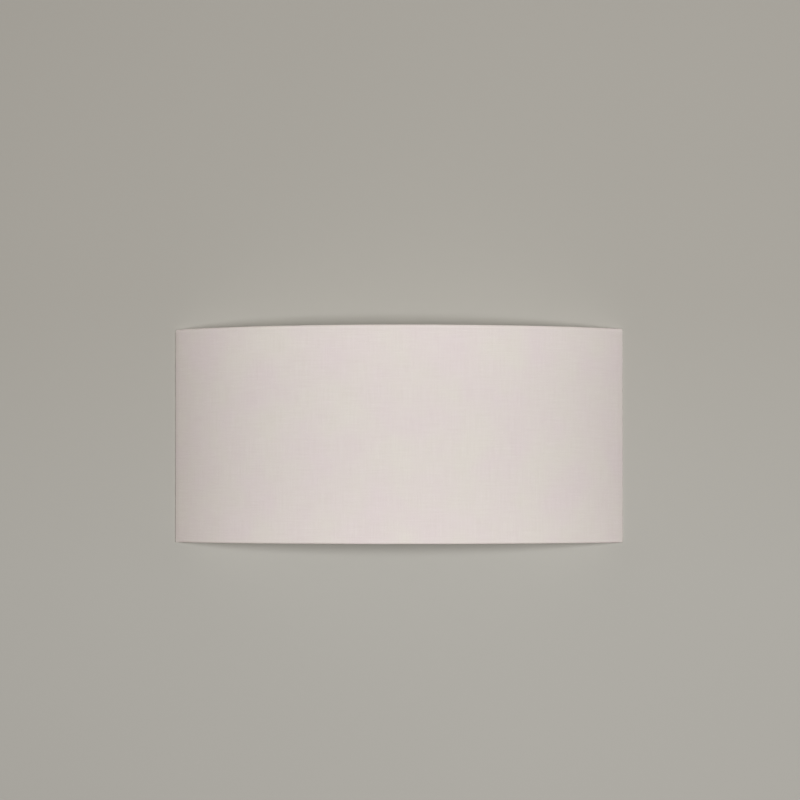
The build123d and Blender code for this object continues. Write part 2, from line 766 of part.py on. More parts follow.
# ---------------------------------------------------------------- earthing
def earth_places():
    """Each earth screw as (x, z, face, way), on the bracket and then on the box."""
    return [(earth_x, 0.0, -bracket_t, -1), (-earth_x, box_earth_z, box_front_inside_y, 1)]


def earth_tags():
    """Ring tags, each with a crimped barrel that holds the wire."""
    tags = []
    for x, z, face, way in earth_places():
        ring = rod_y(x, z, tag_d / 2, face, face + way * tag_t)
        barrel_y = face + way * (tag_barrel_d / 2)
        start = z + way * tag_neck
        end = start + way * tag_barrel_length
        neck = Pos(x, face + way * tag_t / 2, (z + start) / 2) * Box(tag_barrel_d, tag_t, tag_neck)
        barrel = Pos(x, barrel_y, (start + end) / 2) * Cylinder(tag_barrel_d / 2, tag_barrel_length)
        hole = rod_y(x, z, box_stud_d / 2 + thread_play, face, face + way * tag_t)
        tags.append(ring + neck + barrel - hole)
    return Part() + tags


def earth_screws():
    """Pan head screws with their washers, which clamp the tags."""
    screws = []
    for x, z, face, way in earth_places():
        seat = face + way * tag_t
        washer = rod_y(x, z, thumb_washer_d / 2, seat, seat + way * washer_t)
        top = seat + way * washer_t
        head = rod_y(x, z, pan_head_d / 2, top, top + way * pan_head_t)
        back = 0.0 if way < 0 else -(box_depth + nut_t + weld_gap)
        screws.append(washer + head + rod_y(x, z, box_stud_d / 2, top, back))
    return Part() + screws


def front_nuts():
    """Nuts on the room side of the box, on the block's screw and the box's earth screw."""
    places = [(0.0, block_screw_z, small_screw_d), (-earth_x, box_earth_z, box_stud_d)]
    nuts = []
    for x, z, size in places:
        nut = extrude(facing_room(-box_depth) * Pos(x, z) * hexagon(nut_across), nut_t)
        nuts.append(nut - rod_y(x, z, size / 2 + thread_play, -box_depth, -(box_depth + nut_t)))
    return Part() + nuts


# ---------------------------------------------------------------- wires
def lead(section, points, radii):
    """A round section carried along straight runs joined by tangent arcs."""
    path = FilletPolyline(*points, radius=radii)
    start = Plane(origin=path @ 0, z_dir=path % 0)
    return sweep(start * section, path)


def lamp_lead(height, x):
    """Insulated wire from one pole, down through the sleeve and up into the holder."""
    points = [
        (barrel_length / 2 + weld_gap, wire_y, height),
        (x, wire_y, height),
        (x, wire_y, loop_z),
        (x, lamp_y, loop_z),
        (x, lamp_y, shelf_z + nipple_above + wire_in_well),
    ]
    return both_sides(lead(Circle(wire_lead_d / 2), points, lead_bend_r))


def live_wires():
    return lamp_lead(live_z, lamp_x + lead_spacing / 2)


def neutral_wires():
    return lamp_lead(neutral_z, lamp_x - lead_spacing / 2)


def earth_wires():
    """From the earth pole: one looped to the bracket's tag, one stepped down to the box's tag."""
    start = barrel_length / 2 + weld_gap
    bracket_tag_y = -(bracket_t + tag_barrel_d / 2)
    bracket_tag_z = -(tag_neck + tag_barrel_length + weld_gap)
    turn_z = bracket_tag_z - lead_bend_r
    to_bracket = [
        (start, wire_y, earth_z),
        (earth_x, wire_y, earth_z),
        (earth_x, wire_y, turn_z),
        (earth_x, bracket_tag_y, turn_z),
        (earth_x, bracket_tag_y, bracket_tag_z),
    ]
    box_tag_y = box_front_inside_y + tag_barrel_d / 2
    box_tag_z = box_earth_z + tag_neck + tag_barrel_length + weld_gap
    step_z = box_tag_z + 2 * tag_neck
    to_box = [
        (-start, wire_y, earth_z),
        (-earth_x, wire_y, earth_z),
        (-earth_x, wire_y, step_z),
        (-earth_x, box_tag_y, box_tag_z + tag_neck),
        (-earth_x, box_tag_y, box_tag_z),
    ]
    loop_r = (bracket_tag_y - wire_y) / 2 - weld_gap
    drop_r = earth_z - step_z - wire_lead_d
    section = Circle(wire_lead_d / 2)
    first = lead(section, to_bracket, [loop_r, loop_r, loop_r])
    second = lead(section, to_box, [drop_r, wire_lead_d, wire_lead_d])
    return Part() + [first, second]


def wire_sleeves():
    """Heat-resistant sleeves over the lamp wires, from the box to the nipples."""
    points = [
        (lamp_x, wire_y, box_floor_z + sleeve_inside),
        (lamp_x, wire_y, loop_z),
        (lamp_x, lamp_y, loop_z),
        (lamp_x, lamp_y, shelf_z - lamp_bracket_t - nipple_below / 2),
    ]
    return both_sides(lead(Circle(sleeve_d / 2) - Circle(sleeve_bore_d / 2), points, lead_bend_r))


def wire_bushes():
    """Plastic bushes where the sleeves leave the box."""
    place = (lamp_x, wire_y)
    bore = sleeve_d / 2 + thread_play
    shank = turned(band(bore, wire_bush_r, box_floor_z, box_floor_z + bush_inside), place)
    flange_low = box_floor_z - bush_flange_t
    flange = turned(band(bore, wire_bush_r + bush_wall, flange_low, box_floor_z), place)
    return both_sides(shank + flange)


# ---------------------------------------------------------------- nodes
one_sided = {
    "shade_fabric": shade_fabric,
    "shade_liner": shade_liner,
    "top_ring_arc": top_ring_arc,
    "top_rear_bar": top_rear_bar,
    "wall_bracket": wall_bracket,
    "cable_bush": cable_bush,
    "box_studs": box_studs,
    "box_washers": box_washers,
    "dome_nuts": dome_nuts,
    "wall_box": wall_box,
    "side_nuts": side_nuts,
    "front_nuts": front_nuts,
    "bracket_rivets": bracket_rivets,
    "nipples": nipples,
    "lock_washers": lock_washers,
    "nipple_nuts": nipple_nuts,
    "screw_shells": screw_shells,
    "centre_contacts": centre_contacts,
    "terminal_block": terminal_block,
    "terminal_barrels": terminal_barrels,
    "terminal_screws": terminal_screws,
    "block_screw": block_screw,
    "earth_tags": earth_tags,
    "earth_screws": earth_screws,
    "live_wires": live_wires,
    "neutral_wires": neutral_wires,
    "earth_wires": earth_wires,
    "wire_sleeves": wire_sleeves,
    "wire_bushes": wire_bushes,
}
right_and_left = {
    "corner_post": right_corner_post,
    "fixing_strap": right_fixing_strap,
    "thumb_washer": right_thumb_washer,
    "thumb_stud": right_thumb_stud,
    "thumb_knob": right_thumb_knob,
    "lamp_bracket": right_lamp_bracket,
    "holder_base": right_holder_base,
    "holder_skirt": right_holder_skirt,
    "bulb_dome": right_bulb_dome,
    "bulb_housing": right_bulb_housing,
    "bulb_cap": right_bulb_cap,
    "bulb_insulator": right_bulb_insulator,
    "bulb_tip": right_bulb_tip,
    "led_board": right_led_board,
}

nodes = {name: make() for name, make in one_sided.items()}
nodes["bottom_ring_arc"] = upside_down(nodes["top_ring_arc"])
nodes["bottom_rear_bar"] = upside_down(nodes["top_rear_bar"])
for name, make in right_and_left.items():
    nodes[f"right_{name}"] = make()
    nodes[f"left_{name}"] = other_side(nodes[f"right_{name}"])

os.makedirs("parts", exist_ok=True)
for name, shape in nodes.items():
    export_step(shape, f"parts/{name}.step")

print("pieces", len(nodes), "plan radius", round(fabric_r, 2), "half angle", round(half_angle, 2))
print("lamp axis y", round(lamp_y, 2), "shelf", round(shelf_z, 2), "bulb top", round(ball_z + bulb_d / 2, 2))
print("thumbscrew axis y", round(strap_y, 2), "wire plane y", round(wire_y, 2))
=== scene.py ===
# %% [markdown]
# # A fabric shade wall light
# The object is a shallow half drum of woven cloth that hangs in front of a steel box on the wall.
# The construction model already holds every piece at its real size, so this file loads it and gives
# it its looks. It replaces the plain solids whose surface is the whole point, such as the cloth and
# the screw threads, and leaves the rest where it is.
# %% Load the construction model
import math
from functools import partial

import bmesh
import bpy
from mathutils import Matrix, Vector


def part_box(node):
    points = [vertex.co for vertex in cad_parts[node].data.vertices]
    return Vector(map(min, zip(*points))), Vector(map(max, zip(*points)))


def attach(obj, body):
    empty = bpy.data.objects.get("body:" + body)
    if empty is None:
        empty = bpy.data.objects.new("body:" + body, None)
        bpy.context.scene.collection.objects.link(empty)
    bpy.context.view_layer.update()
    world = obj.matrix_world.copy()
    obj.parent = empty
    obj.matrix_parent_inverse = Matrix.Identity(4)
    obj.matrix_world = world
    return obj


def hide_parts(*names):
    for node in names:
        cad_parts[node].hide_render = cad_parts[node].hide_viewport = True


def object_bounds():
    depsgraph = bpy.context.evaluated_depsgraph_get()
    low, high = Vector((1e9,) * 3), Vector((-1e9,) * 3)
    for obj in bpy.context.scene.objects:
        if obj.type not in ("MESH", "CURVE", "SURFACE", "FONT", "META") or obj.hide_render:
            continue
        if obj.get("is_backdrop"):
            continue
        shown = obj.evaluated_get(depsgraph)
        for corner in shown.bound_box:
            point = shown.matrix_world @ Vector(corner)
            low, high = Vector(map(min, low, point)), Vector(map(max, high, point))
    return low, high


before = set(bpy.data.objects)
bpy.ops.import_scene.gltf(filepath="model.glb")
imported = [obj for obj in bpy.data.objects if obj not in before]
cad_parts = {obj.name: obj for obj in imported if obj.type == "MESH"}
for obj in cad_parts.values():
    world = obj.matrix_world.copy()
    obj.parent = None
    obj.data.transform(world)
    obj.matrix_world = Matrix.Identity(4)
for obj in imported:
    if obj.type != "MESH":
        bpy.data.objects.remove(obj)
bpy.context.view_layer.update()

# %% [markdown]
# ## Helpers for everything that follows
# Colours are easiest to pick as the hex values of a picture, but the renderer works in linear light,
# so one function turns the first into the second. Another adds a node to a material with its settings
# and its links in one line, which keeps each material short enough to read.
# %% Colour and node helpers
MM = 0.001


def linear(hex_colour):
    """The linear red, green, blue and alpha of an sRGB hex colour."""
    channels = [int(hex_colour[i:i + 2], 16) / 255 for i in (1, 3, 5)]
    return [c / 12.92 if c <= 0.04045 else ((c + 0.055) / 1.055) ** 2.4 for c in channels] + [1.0]


def add(tree, kind, inputs=None, **settings):
    """Adds a node. Each input takes a value, a hex colour, or the node or output that feeds it."""
    node = tree.nodes.new("ShaderNode" + kind)
    for name, value in settings.items():
        setattr(node, name, value)
    for key, value in (inputs or {}).items():
        source = value.outputs[0] if isinstance(value, bpy.types.Node) else value
        if isinstance(source, bpy.types.NodeSocket):
            tree.links.new(source, node.inputs[key])
        else:
            node.inputs[key].default_value = linear(value) if isinstance(value, str) else value
    return node


def new_material(name):
    """An empty material and its node tree."""
    made = bpy.data.materials.new(name)
    made.use_nodes = True
    made.node_tree.nodes.clear()
    return made, made.node_tree


print("mid grey #808080 is", round(linear("#808080")[0], 3), "in linear light")

# %% [markdown]
# ## The camera
# The photograph is taken from about three metres with a long lens, a little to the right of the light
# and a little below its middle, looking slightly up. At that distance the curved edges bow by only a
# few pixels, so the camera's place matters more than any other number here.
# %% Camera
CAMERA_PLACE = Vector((0.1625, -3.2, -0.043))
CAMERA_TURN = math.radians(2.887)
CAMERA_TILT = math.radians(1.313)
SENSOR_WIDTH = 36.0
LENS = 169.6

camera_data = bpy.data.cameras.new("camera")
camera_data.sensor_width = SENSOR_WIDTH
camera_data.lens = LENS
camera_data.clip_end = 50.0
camera = bpy.data.objects.new("camera", camera_data)
bpy.context.scene.collection.objects.link(camera)
camera.location = CAMERA_PLACE
camera.rotation_euler = (math.pi / 2 + CAMERA_TILT, 0.0, CAMERA_TURN)
bpy.context.scene.camera = camera
bpy.context.scene.view_settings.view_transform = "Standard"
print("the camera stands", round(CAMERA_PLACE.length, 2), "m from the middle of the light")

# %% [markdown]
# ## Light
# A round soft box in front, a little to the right, gives the gentle fall-off across the curve, and a
# weak even surround fills the rest. The width of the soft box sets how quickly the shade's shadow on
# the wall fades: it is about twelve degrees wide here. Two lamps behind show the fittings when the
# light is looked at from the back.
# %% Lamps and surround
KEY_SHARE = 0.90  # of the light on a surface that faces the room
FILL_SHARE = 0.10
KEY_DISTANCE = 2.7
KEY_TURN = math.radians(6.2)
KEY_HEIGHT = -0.028
KEY_WIDTH = 0.58
REAR_TURN = 150
SURROUND_TONE = 0.62  # what the camera and shiny surfaces see of it, where 1 is white
FILL_GAIN = 1.15  # makes up for most of what the warm tint of the fill takes away


def soft_box(name, azimuth, height, distance, width, level):
    """A round lamp aimed at the object. Level 1 renders a white surface that faces it as white."""
    data = bpy.data.lights.new(name, "AREA")
    data.shape = "DISK"
    data.size = width
    data.energy = level * math.pi ** 2 * distance ** 2
    lamp = bpy.data.objects.new(name, data)
    bpy.context.scene.collection.objects.link(lamp)
    flat = math.sqrt(distance ** 2 - height ** 2)
    lamp.location = (flat * math.sin(azimuth), -flat * math.cos(azimuth), height)
    lamp.rotation_euler = (-lamp.location).to_track_quat("-Z", "Y").to_euler()
    lamp.visible_camera = False


def shown_rays(tree):
    """1 for the rays that show a thing to the camera, straight, in a reflection or through glass."""
    path = add(tree, "LightPath")
    shown = path.outputs["Is Camera Ray"]
    for way in ("Is Glossy Ray", "Is Transmission Ray"):
        shown = add(tree, "Math", {0: shown, 1: path.outputs[way]}, operation="MAXIMUM")
    return shown


soft_box("front_soft_box", KEY_TURN, KEY_HEIGHT, KEY_DISTANCE, KEY_WIDTH, KEY_SHARE)
for side, turn in (("left", -REAR_TURN), ("right", REAR_TURN)):
    soft_box(f"{side}_rear_lamp", math.radians(turn), height=1.0, distance=3.0, width=2.4, level=0.45)

world = bpy.data.worlds.new("surround")
bpy.context.scene.world = world
world.use_nodes = True
tree = world.node_tree
tree.nodes.clear()
shown = shown_rays(tree)
strength = add(tree, "MapRange", {"Value": shown, "To Min": FILL_SHARE * FILL_GAIN, "To Max": SURROUND_TONE})
warmth = add(tree, "MixRGB", {"Fac": shown, "Color1": "#FFE4C0", "Color2": "#FFFFFF"})
surround = add(tree, "Background", {"Color": warmth, "Strength": strength})
add(tree, "OutputWorld", {"Surface": surround})

# %% [markdown]
# ## The wall and the floor
# The light needs something to hang on and to throw its thin shadow on. The wall is a plain painted
# backdrop that only the camera sees, and only from its painted side, so that it takes no light away
# from the object and doesn't hide it in the views from behind. The floor is pale and mostly shows
# itself at an even tone. It throws no light back up, as the photograph shows none from below, and it
# too is seen from its painted side only, so that the underside can be looked at.
# %% Stage
WALL_GAP = 0.5 * MM
WALL_MIDDLE = 0.6  # height of the middle of the backdrop
FADE = 0.12  # the wall is painted darker above the light and lighter below, as painted shade, changing from this far above to this far below
FLOOR_HEIGHT = -1.3
FLOOR_TONE = 0.85  # brightness of the floor's even tone, and the share of it in the floor's look


def stage_plane(name, half, place, turn, made):
    """A flat square of the stage."""
    mesh = bpy.data.meshes.new(name)
    corners = [(-half, -half, 0), (half, -half, 0), (half, half, 0), (-half, half, 0)]
    mesh.from_pydata(corners, [], [(0, 1, 2, 3)])
    mesh.materials.append(made)
    plane = bpy.data.objects.new(name, mesh)
    bpy.context.scene.collection.objects.link(plane)
    plane.location = place
    plane.rotation_euler = turn
    plane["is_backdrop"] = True
    return plane


def one_sided(tree, shader):
    """Ends a material that is clear when it is looked at from behind."""
    from_behind = add(tree, "NewGeometry").outputs["Backfacing"]
    either = add(tree, "MixShader", {0: from_behind, 1: shader, 2: add(tree, "BsdfTransparent")})
    add(tree, "OutputMaterial", {"Surface": either})


emulsion, tree = new_material("emulsion_paint")
place = add(tree, "TexCoord").outputs["Object"]
cloud = add(tree, "TexNoise", {"Vector": place, "Scale": 2.2, "Detail": 2.0})
# Painted shade: the wall's colour is darker above the light and lighter below it.
up = add(tree, "SeparateXYZ", {0: place}).outputs["Y"]
painted_shade_fade = add(tree, "MapRange", {"Value": up, "From Min": FADE - WALL_MIDDLE, "From Max": -FADE - WALL_MIDDLE})
shade = add(tree, "MixRGB", {"Fac": painted_shade_fade, "Color1": "#A6A49E", "Color2": "#ABAAA5"})
tone = add(tree, "MixRGB", {"Fac": 0.04, "Color1": shade, "Color2": cloud}, blend_type="SOFT_LIGHT")
stipple = add(tree, "TexNoise", {"Vector": place, "Scale": 1 / (1.8 * MM), "Detail": 2.0})
bump = add(tree, "Bump", {"Height": stipple, "Strength": 0.25, "Distance": 0.1 * MM})
paint = add(tree, "BsdfPrincipled", {"Base Color": tone, "Roughness": 0.9, "Normal": bump})
one_sided(tree, paint)
wall = stage_plane("wall", 3.0, (0, WALL_GAP, WALL_MIDDLE), (math.pi / 2, 0, 0), emulsion)
for ray in ("diffuse", "glossy", "transmission", "shadow", "volume_scatter"):
    setattr(wall, "visible_" + ray, False)

floor_paint, tree = new_material("pale_floor_paint")
place = add(tree, "TexCoord").outputs["Object"]
cloud = add(tree, "TexNoise", {"Vector": place, "Scale": 1.5, "Detail": 3.0})
tone = add(tree, "MixRGB", {"Fac": cloud, "Color1": "#D4D3D0", "Color2": "#DCDBD8"})
paint = add(tree, "BsdfPrincipled", {"Base Color": tone, "Roughness": 0.85})
even = add(tree, "Emission", {"Color": tone, "Strength": FLOOR_TONE})
amount = add(tree, "Math", {0: shown_rays(tree), 1: FLOOR_TONE}, operation="MULTIPLY")
one_sided(tree, add(tree, "MixShader", {0: amount, 1: paint, 2: even}))
floor = stage_plane("floor", 8.0, (0, 0, FLOOR_HEIGHT), (0, 0, 0), floor_paint)
floor.visible_diffuse = False
print("stage", wall.name, floor.name)

# %% [markdown]
# ## The cloth
# The shade is one skin of woven cloth. It runs flat round the curve, rolls over the top and bottom
# wires and round the upright wires at the corners, and ends tucked out of sight behind them. The sheet
# is built the same way: a grid of points that follows each of those bends, with an outer and an inner
# face as far apart as the cloth is thick. Each point also knows how far along the warp and the weft
# it lies, in millimetres, so that the threads can follow the cloth round every bend.
# %% Shape of the cloth
CLOTH_T = 0.45
ROLL_OUT = 2.35  # radius of the rolled hem, outside
ROLL_IN = ROLL_OUT - CLOTH_T
CORNER = (187.65, -3.35)  # centre of the side roll in plan
FRONT = -100.0
RING_Z = 88.15
HEM_WRAP = 250.0
HEM_SETBACK = 6.0
HEM_FRAY = 4.0  # pace of the frayed edge for each degree along a hem
SIDE_FRAY = 0.4  # and for each millimetre up a side
FRAY = ((0.35, 0.9, 0.0), (0.2, 2.3, 1.0))  # height, pace and start of each wave of a frayed edge
FOLD = 0.4  # 1 folds a corner as a ball, and smaller values fold it squarer
COLUMN_STEP = 0.6  # degrees round the front between points
ROW_STEP = 4.0
ROLL_STEP = 15  # degrees round a roll
TUCK_STEP = 14  # and where it is tucked in
SAME_PLACE = 0.013  # points nearer than this are one
bow = -FRONT - ROLL_OUT + CORNER[1]
CORE_R = (CORNER[0] ** 2 + bow ** 2) / (2 * bow)  # plan radius through both corners
AXIS_Y = CORE_R + FRONT + ROLL_OUT
HALF = math.degrees(math.asin(CORNER[0] / CORE_R))


def outwards(angle):
    """Direction in plan at an angle from the room side, in degrees."""
    return Vector((math.sin(math.radians(angle)), -math.cos(math.radians(angle)), 0))


def steps(start, end, size):
    """Evenly spaced numbers from start to end, at most a size apart."""
    count = max(1, math.ceil(abs(end - start) / size))
    return [start + (end - start) * i / count for i in range(count + 1)]


def frayed(place):
    """How far the cut edge wanders at a place along it, in degrees round the roll."""
    wander = sum(height * math.sin(place * pace + start) for height, pace, start in FRAY)
    return math.degrees(wander / ROLL_OUT)


def round_front(angle):
    """How far a plan angle goes round the front, along the outside of the cloth."""
    return math.radians(angle) * (CORE_R + ROLL_OUT)


def round_roll(angle):
    """How far an angle goes round a roll, along the outside of the cloth."""
    return math.radians(angle) * ROLL_OUT


class Cloth:
    """Collects the cloth's points as pairs, outer and inner, and its faces with thread positions."""

    def __init__(self):
        self.keys = {}
        self.points = []
        self.faces = []

    def point(self, centre, normal):
        """The number of the point whose core line passes through centre, facing along normal."""
        key = tuple(round(v / SAME_PLACE) for v in centre + normal * ROLL_OUT)
        if key not in self.keys:
            self.keys[key] = len(self.points)
            self.points.append((centre, normal))
        return self.keys[key]

    def grid(self, rows, columns, place):
        """Fills a patch. place gives the centre, the normal and the thread position at (row, column)."""
        table = [[place(row, column) for column in columns] for row in rows]
        numbers = [[self.point(entry[0], entry[1]) for entry in line] for line in table]
        for i in range(len(rows) - 1):
            for j in range(len(columns) - 1):
                corners = [(i, j), (i, j + 1), (i + 1, j + 1), (i + 1, j)]
                loop = [(numbers[a][b], table[a][b][2]) for a, b in corners]
                if len({number for number, _ in loop}) > 2:
                    self.faces.append(loop)


def front_place(z, angle):
    """Centre, normal and thread position on the front, at a height and a plan angle."""
    out = outwards(angle)
    return Vector((0, AXIS_Y, z)) + out * CORE_R, out, (round_front(angle), z)


def hem_place(side, tilt, angle):
    """The same on the hem above or below, tilted round its roll from outwards."""
    over = frayed(angle * HEM_FRAY * side) if tilt == HEM_WRAP else 0.0
    lift = math.radians(tilt + over)
    out = outwards(angle)
    normal = out * math.cos(lift) + Vector((0, 0, side * math.sin(lift)))
    centre = Vector((0, AXIS_Y, 0)) + out * CORE_R + Vector((0, 0, side * RING_Z))
    return centre, normal, (round_front(angle), side * (RING_Z + round_roll(tilt)))


def corner_place(hand, z, turn):
    """The same on the roll round the upright wire of a corner, at a height and a plan angle."""
    over = frayed(z * SIDE_FRAY * hand) if turn == HALF + HEM_WRAP else 0.0
    normal = outwards(turn + over)
    normal.x *= hand
    along_weft = hand * (round_front(HALF) + round_roll(turn - HALF))
    return Vector((hand * CORNER[0], CORNER[1], z)), normal, (along_weft, z)


def cap_place(hand, side, tilt, turn):
    """The same on the fold that closes a corner above or below."""
    centre, normal, (along_weft, _) = corner_place(hand, side * RING_Z, turn)
    lift = math.radians(tilt)
    squareness = max(0.0, math.sin(math.radians(turn - HALF))) ** 0.5
    power = 1 - (1 - FOLD) * squareness
    flat_part, upright_part = (max(0.0, part) ** power for part in (math.cos(lift), math.sin(lift)))
    normal = normal * flat_part + Vector((0, 0, side * upright_part))
    return centre, normal, (along_weft, side * (RING_Z + round_roll(tilt)))


cloth = Cloth()
tuck_half = HALF - math.degrees(HEM_SETBACK / CORE_R)
columns = [-HALF] + steps(-tuck_half, tuck_half, COLUMN_STEP) + [HALF]
rows = [-RING_Z] + steps(-RING_Z + HEM_SETBACK, RING_Z - HEM_SETBACK, ROW_STEP) + [RING_Z]
cloth.grid(rows, columns, front_place)
for side in (-1, 1):
    cloth.grid(steps(0, 180, ROLL_STEP), columns, partial(hem_place, side))
    cloth.grid(steps(180, HEM_WRAP, TUCK_STEP), columns[1:-1], partial(hem_place, side))
for hand in (-1, 1):
    round_corner = steps(HALF, HALF + 180, ROLL_STEP)
    cloth.grid(rows, round_corner, partial(corner_place, hand))
    cloth.grid(rows[1:-1], steps(HALF + 180, HALF + HEM_WRAP, TUCK_STEP), partial(corner_place, hand))
    for side in (-1, 1):
        cloth.grid(steps(0, 90, ROLL_STEP), round_corner, partial(cap_place, hand, side))
print("cloth points", len(cloth.points), "faces", len(cloth.faces))

# %% [markdown]
# ## From points to a real sheet
# The two faces of the sheet are joined along every cut edge, so that it is closed and has its real
# thickness. The rear bars of the frame come out through the cloth near the corners, where a maker
# snips it, so a rod along each bar is cut away there.
# %% Sheet with its thickness
SHARP = math.radians(40)  # edges sharper than this aren't shaded smooth
WIRE_BACK = 0.3  # the wires lie this much nearer the axis than the middle of the roll
NOTCH_R = 1.8
ROD_SIDES = 48


def new_object(name, mesh, made, body):
    """Puts a mesh in the scene as a piece that rides a body, smooth except at its sharp edges."""
    mesh.materials.clear()
    mesh.materials.append(made)
    piece = bpy.data.objects.new(name, mesh)
    bpy.context.scene.collection.objects.link(piece)
    mesh.shade_smooth()
    mesh.set_sharp_from_angle(angle=SHARP)
    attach(piece, body)
    return piece


def sheet_mesh(name, cloth, outer, inner):
    """A closed sheet: both faces of the cloth and a strip along each free edge."""
    made = bmesh.new()
    threads = made.loops.layers.uv.new("threads")
    faces = {}
    for offset in (outer, inner):
        faces[offset] = [made.verts.new((centre + normal * offset) * MM) for centre, normal in cloth.points]
    uses = {}

    def face(corners):
        built = made.faces.new([vertex for vertex, _ in corners])
        for loop, (_, place) in zip(built.loops, corners):
            loop[threads].uv = place

    for loop in cloth.faces:
        kept = [pair for i, pair in enumerate(loop) if pair[0] != loop[i - 1][0]]
        for offset in (outer, inner):
            face([(faces[offset][number], place) for number, place in kept])
        for i, pair in enumerate(kept):
            ends = (kept[i - 1], pair)
            uses.setdefault(frozenset(number for number, _ in ends), []).append(ends)
    free = [ends[0] for ends in uses.values() if len(ends) == 1]
    for (first, first_place), (last, last_place) in free:
        face([(faces[outer][first], first_place), (faces[outer][last], last_place),
              (faces[inner][last], last_place), (faces[inner][first], first_place)])
    bmesh.ops.recalc_face_normals(made, faces=made.faces)
    print(name, "free edges", len(free), "all closed", all(edge.is_manifold for edge in made.edges))
    mesh = bpy.data.meshes.new(name)
    made.to_mesh(mesh)
    made.free()
    return mesh


def turned_to(axis):
    """The rotation that turns Z to an axis."""
    return Vector(axis).to_track_quat("Z", "Y").to_matrix().to_4x4()


def rod_between(start, end, radius):
    """A plain round rod to cut with."""
    made = bmesh.new()
    axis = Vector(end) - Vector(start)
    place = Matrix.Translation((Vector(start) + Vector(end)) / 2) @ turned_to(axis)
    bmesh.ops.create_cone(made, cap_ends=True, segments=ROD_SIDES, radius1=radius, radius2=radius,
                          depth=axis.length, matrix=place)
    mesh = bpy.data.meshes.new("rod")
    made.to_mesh(mesh)
    made.free()
    return mesh


def cut_away(mesh, cutters):
    """The mesh with each cutter's volume taken out of it."""
    body = bpy.data.objects.new("blank", mesh)
    bpy.context.scene.collection.objects.link(body)
    tools = []
    for cutter in cutters:
        tool = bpy.data.objects.new("cutter", cutter)
        bpy.context.scene.collection.objects.link(tool)
        step = body.modifiers.new("cut", "BOOLEAN")
        step.object = tool
        step.solver = "EXACT"
        tools.append(tool)
    bpy.context.view_layer.update()
    graph = bpy.context.evaluated_depsgraph_get()
    result = bpy.data.meshes.new_from_object(body.evaluated_get(graph), depsgraph=graph)
    result.name = mesh.name
    for thing in (body, *tools):
        bpy.data.objects.remove(thing)
    return result


wire_r = CORE_R - WIRE_BACK
POST = (wire_r * math.sin(math.radians(HALF)), AXIS_Y - wire_r * math.cos(math.radians(HALF)))
notches = []
for z in (-RING_Z, RING_Z):
    ends = [(x * MM, POST[1] * MM, z * MM) for x in (-POST[0], POST[0])]
    notches.append(rod_between(*ends, NOTCH_R * MM))
cloth_mesh = cut_away(sheet_mesh("cloth", cloth, ROLL_OUT, ROLL_IN), notches)

# %% [markdown]
# ## Woven cotton and linen
# A plain weave passes each warp thread over one weft thread and under the next, so its surface is a
# chequer of small ovals that lie crosswise in turn. Linen threads vary in thickness, which leaves
# faint streaks along both directions, and the undyed yarn is blotchy, a little pink in places and a
# little yellow in others. All of this is read off the thread positions in real millimetres.
# %% Cloth material
THREAD_PITCH = 0.42
SLUB = (1.1, 22.0)  # width and length of a streak of thick yarn
KNOT = (1.0, 7.0)  # width and length of a raised knot in it
BLOTCH = 45.0

linen, tree = new_material("woven_linen_cotton")
threads = add(tree, "UVMap", uv_map="threads")
streaks = []
for width, length in (SLUB, SLUB[::-1], KNOT, KNOT[::-1]):
    drawn = add(tree, "Mapping", {"Vector": threads, "Scale": (1 / width, 1 / length, 1.0)})
    streaks.append(add(tree, "TexNoise", {"Vector": drawn, "Scale": 1.0, "Detail": 2.0}))
yarn = add(tree, "MixRGB", {"Fac": 0.5, "Color1": streaks[0], "Color2": streaks[1]})
thickest = add(tree, "Math", {0: streaks[2], 1: streaks[3]}, operation="MAXIMUM")
knots = add(tree, "MapRange", {"Value": thickest, "From Min": 0.63, "From Max": 0.78, "To Max": 0.05})
cloud = add(tree, "TexNoise", {"Vector": threads, "Scale": 1 / BLOTCH, "Detail": 3.0})
blotch = add(tree, "MapRange", {"Value": cloud, "From Min": 0.35, "From Max": 0.65})
streaked = add(tree, "MixRGB", {"Fac": yarn, "Color1": "#D4CCCA", "Color2": "#F3F0F1"})
blotched = add(tree, "MixRGB", {"Fac": blotch, "Color1": "#E5DADB", "Color2": "#E5E1D8"})
undyed = add(tree, "MixRGB", {"Fac": 0.5, "Color1": streaked, "Color2": blotched})
print("streaks", SLUB, "knots", KNOT, "and threads", THREAD_PITCH, "mm apart")

# %% [markdown]
# The weave comes from two sine waves, one along the warp and one along the weft. Where their product is
# positive the warp thread lies on top, and elsewhere the weft does. Its colour gets painted shade in the
# hollows between the threads and a painted highlight on their crowns. Towards the top and bottom the cloth is
# painted lighter, for the light that comes in through the open ends and brightens it from behind, and its
# rolled edges get a painted highlight.
# %% Weave and light
BLUNT = 0.35  # how quickly the ends of an oval close: 1 for a point and 0 for a square end
GLOW_HEIGHTS = (30.0, 88.0)  # heights from the middle between which the cloth is slowly painted lighter, as painted light
ROLL_HIGHLIGHT_HEIGHTS = (87.5, 91.0)  # and those of its rolled edge, which gets a painted highlight

turns = add(tree, "VectorMath", {0: threads, "Scale": math.pi / THREAD_PITCH}, operation="SCALE")
sines = add(tree, "VectorMath", {0: turns}, operation="SINE")
sine = add(tree, "SeparateXYZ", {0: sines})
product = add(tree, "Math", {0: sine.outputs[0], 1: sine.outputs[1]}, operation="MULTIPLY")
warp_on_top = add(tree, "Math", {0: product, 1: 0.0}, operation="GREATER_THAN")
hump = add(tree, "SeparateXYZ", {0: add(tree, "VectorMath", {0: sines}, operation="ABSOLUTE")})
ovals = []
for i in (0, 1):
    blunt = add(tree, "Math", {0: hump.outputs[1 - i], 1: BLUNT}, operation="POWER")
    ovals.append(add(tree, "Math", {0: hump.outputs[i], 1: blunt}, operation="MULTIPLY"))
weave = add(tree, "MixRGB", {"Fac": warp_on_top, "Color1": ovals[0], "Color2": ovals[1]})

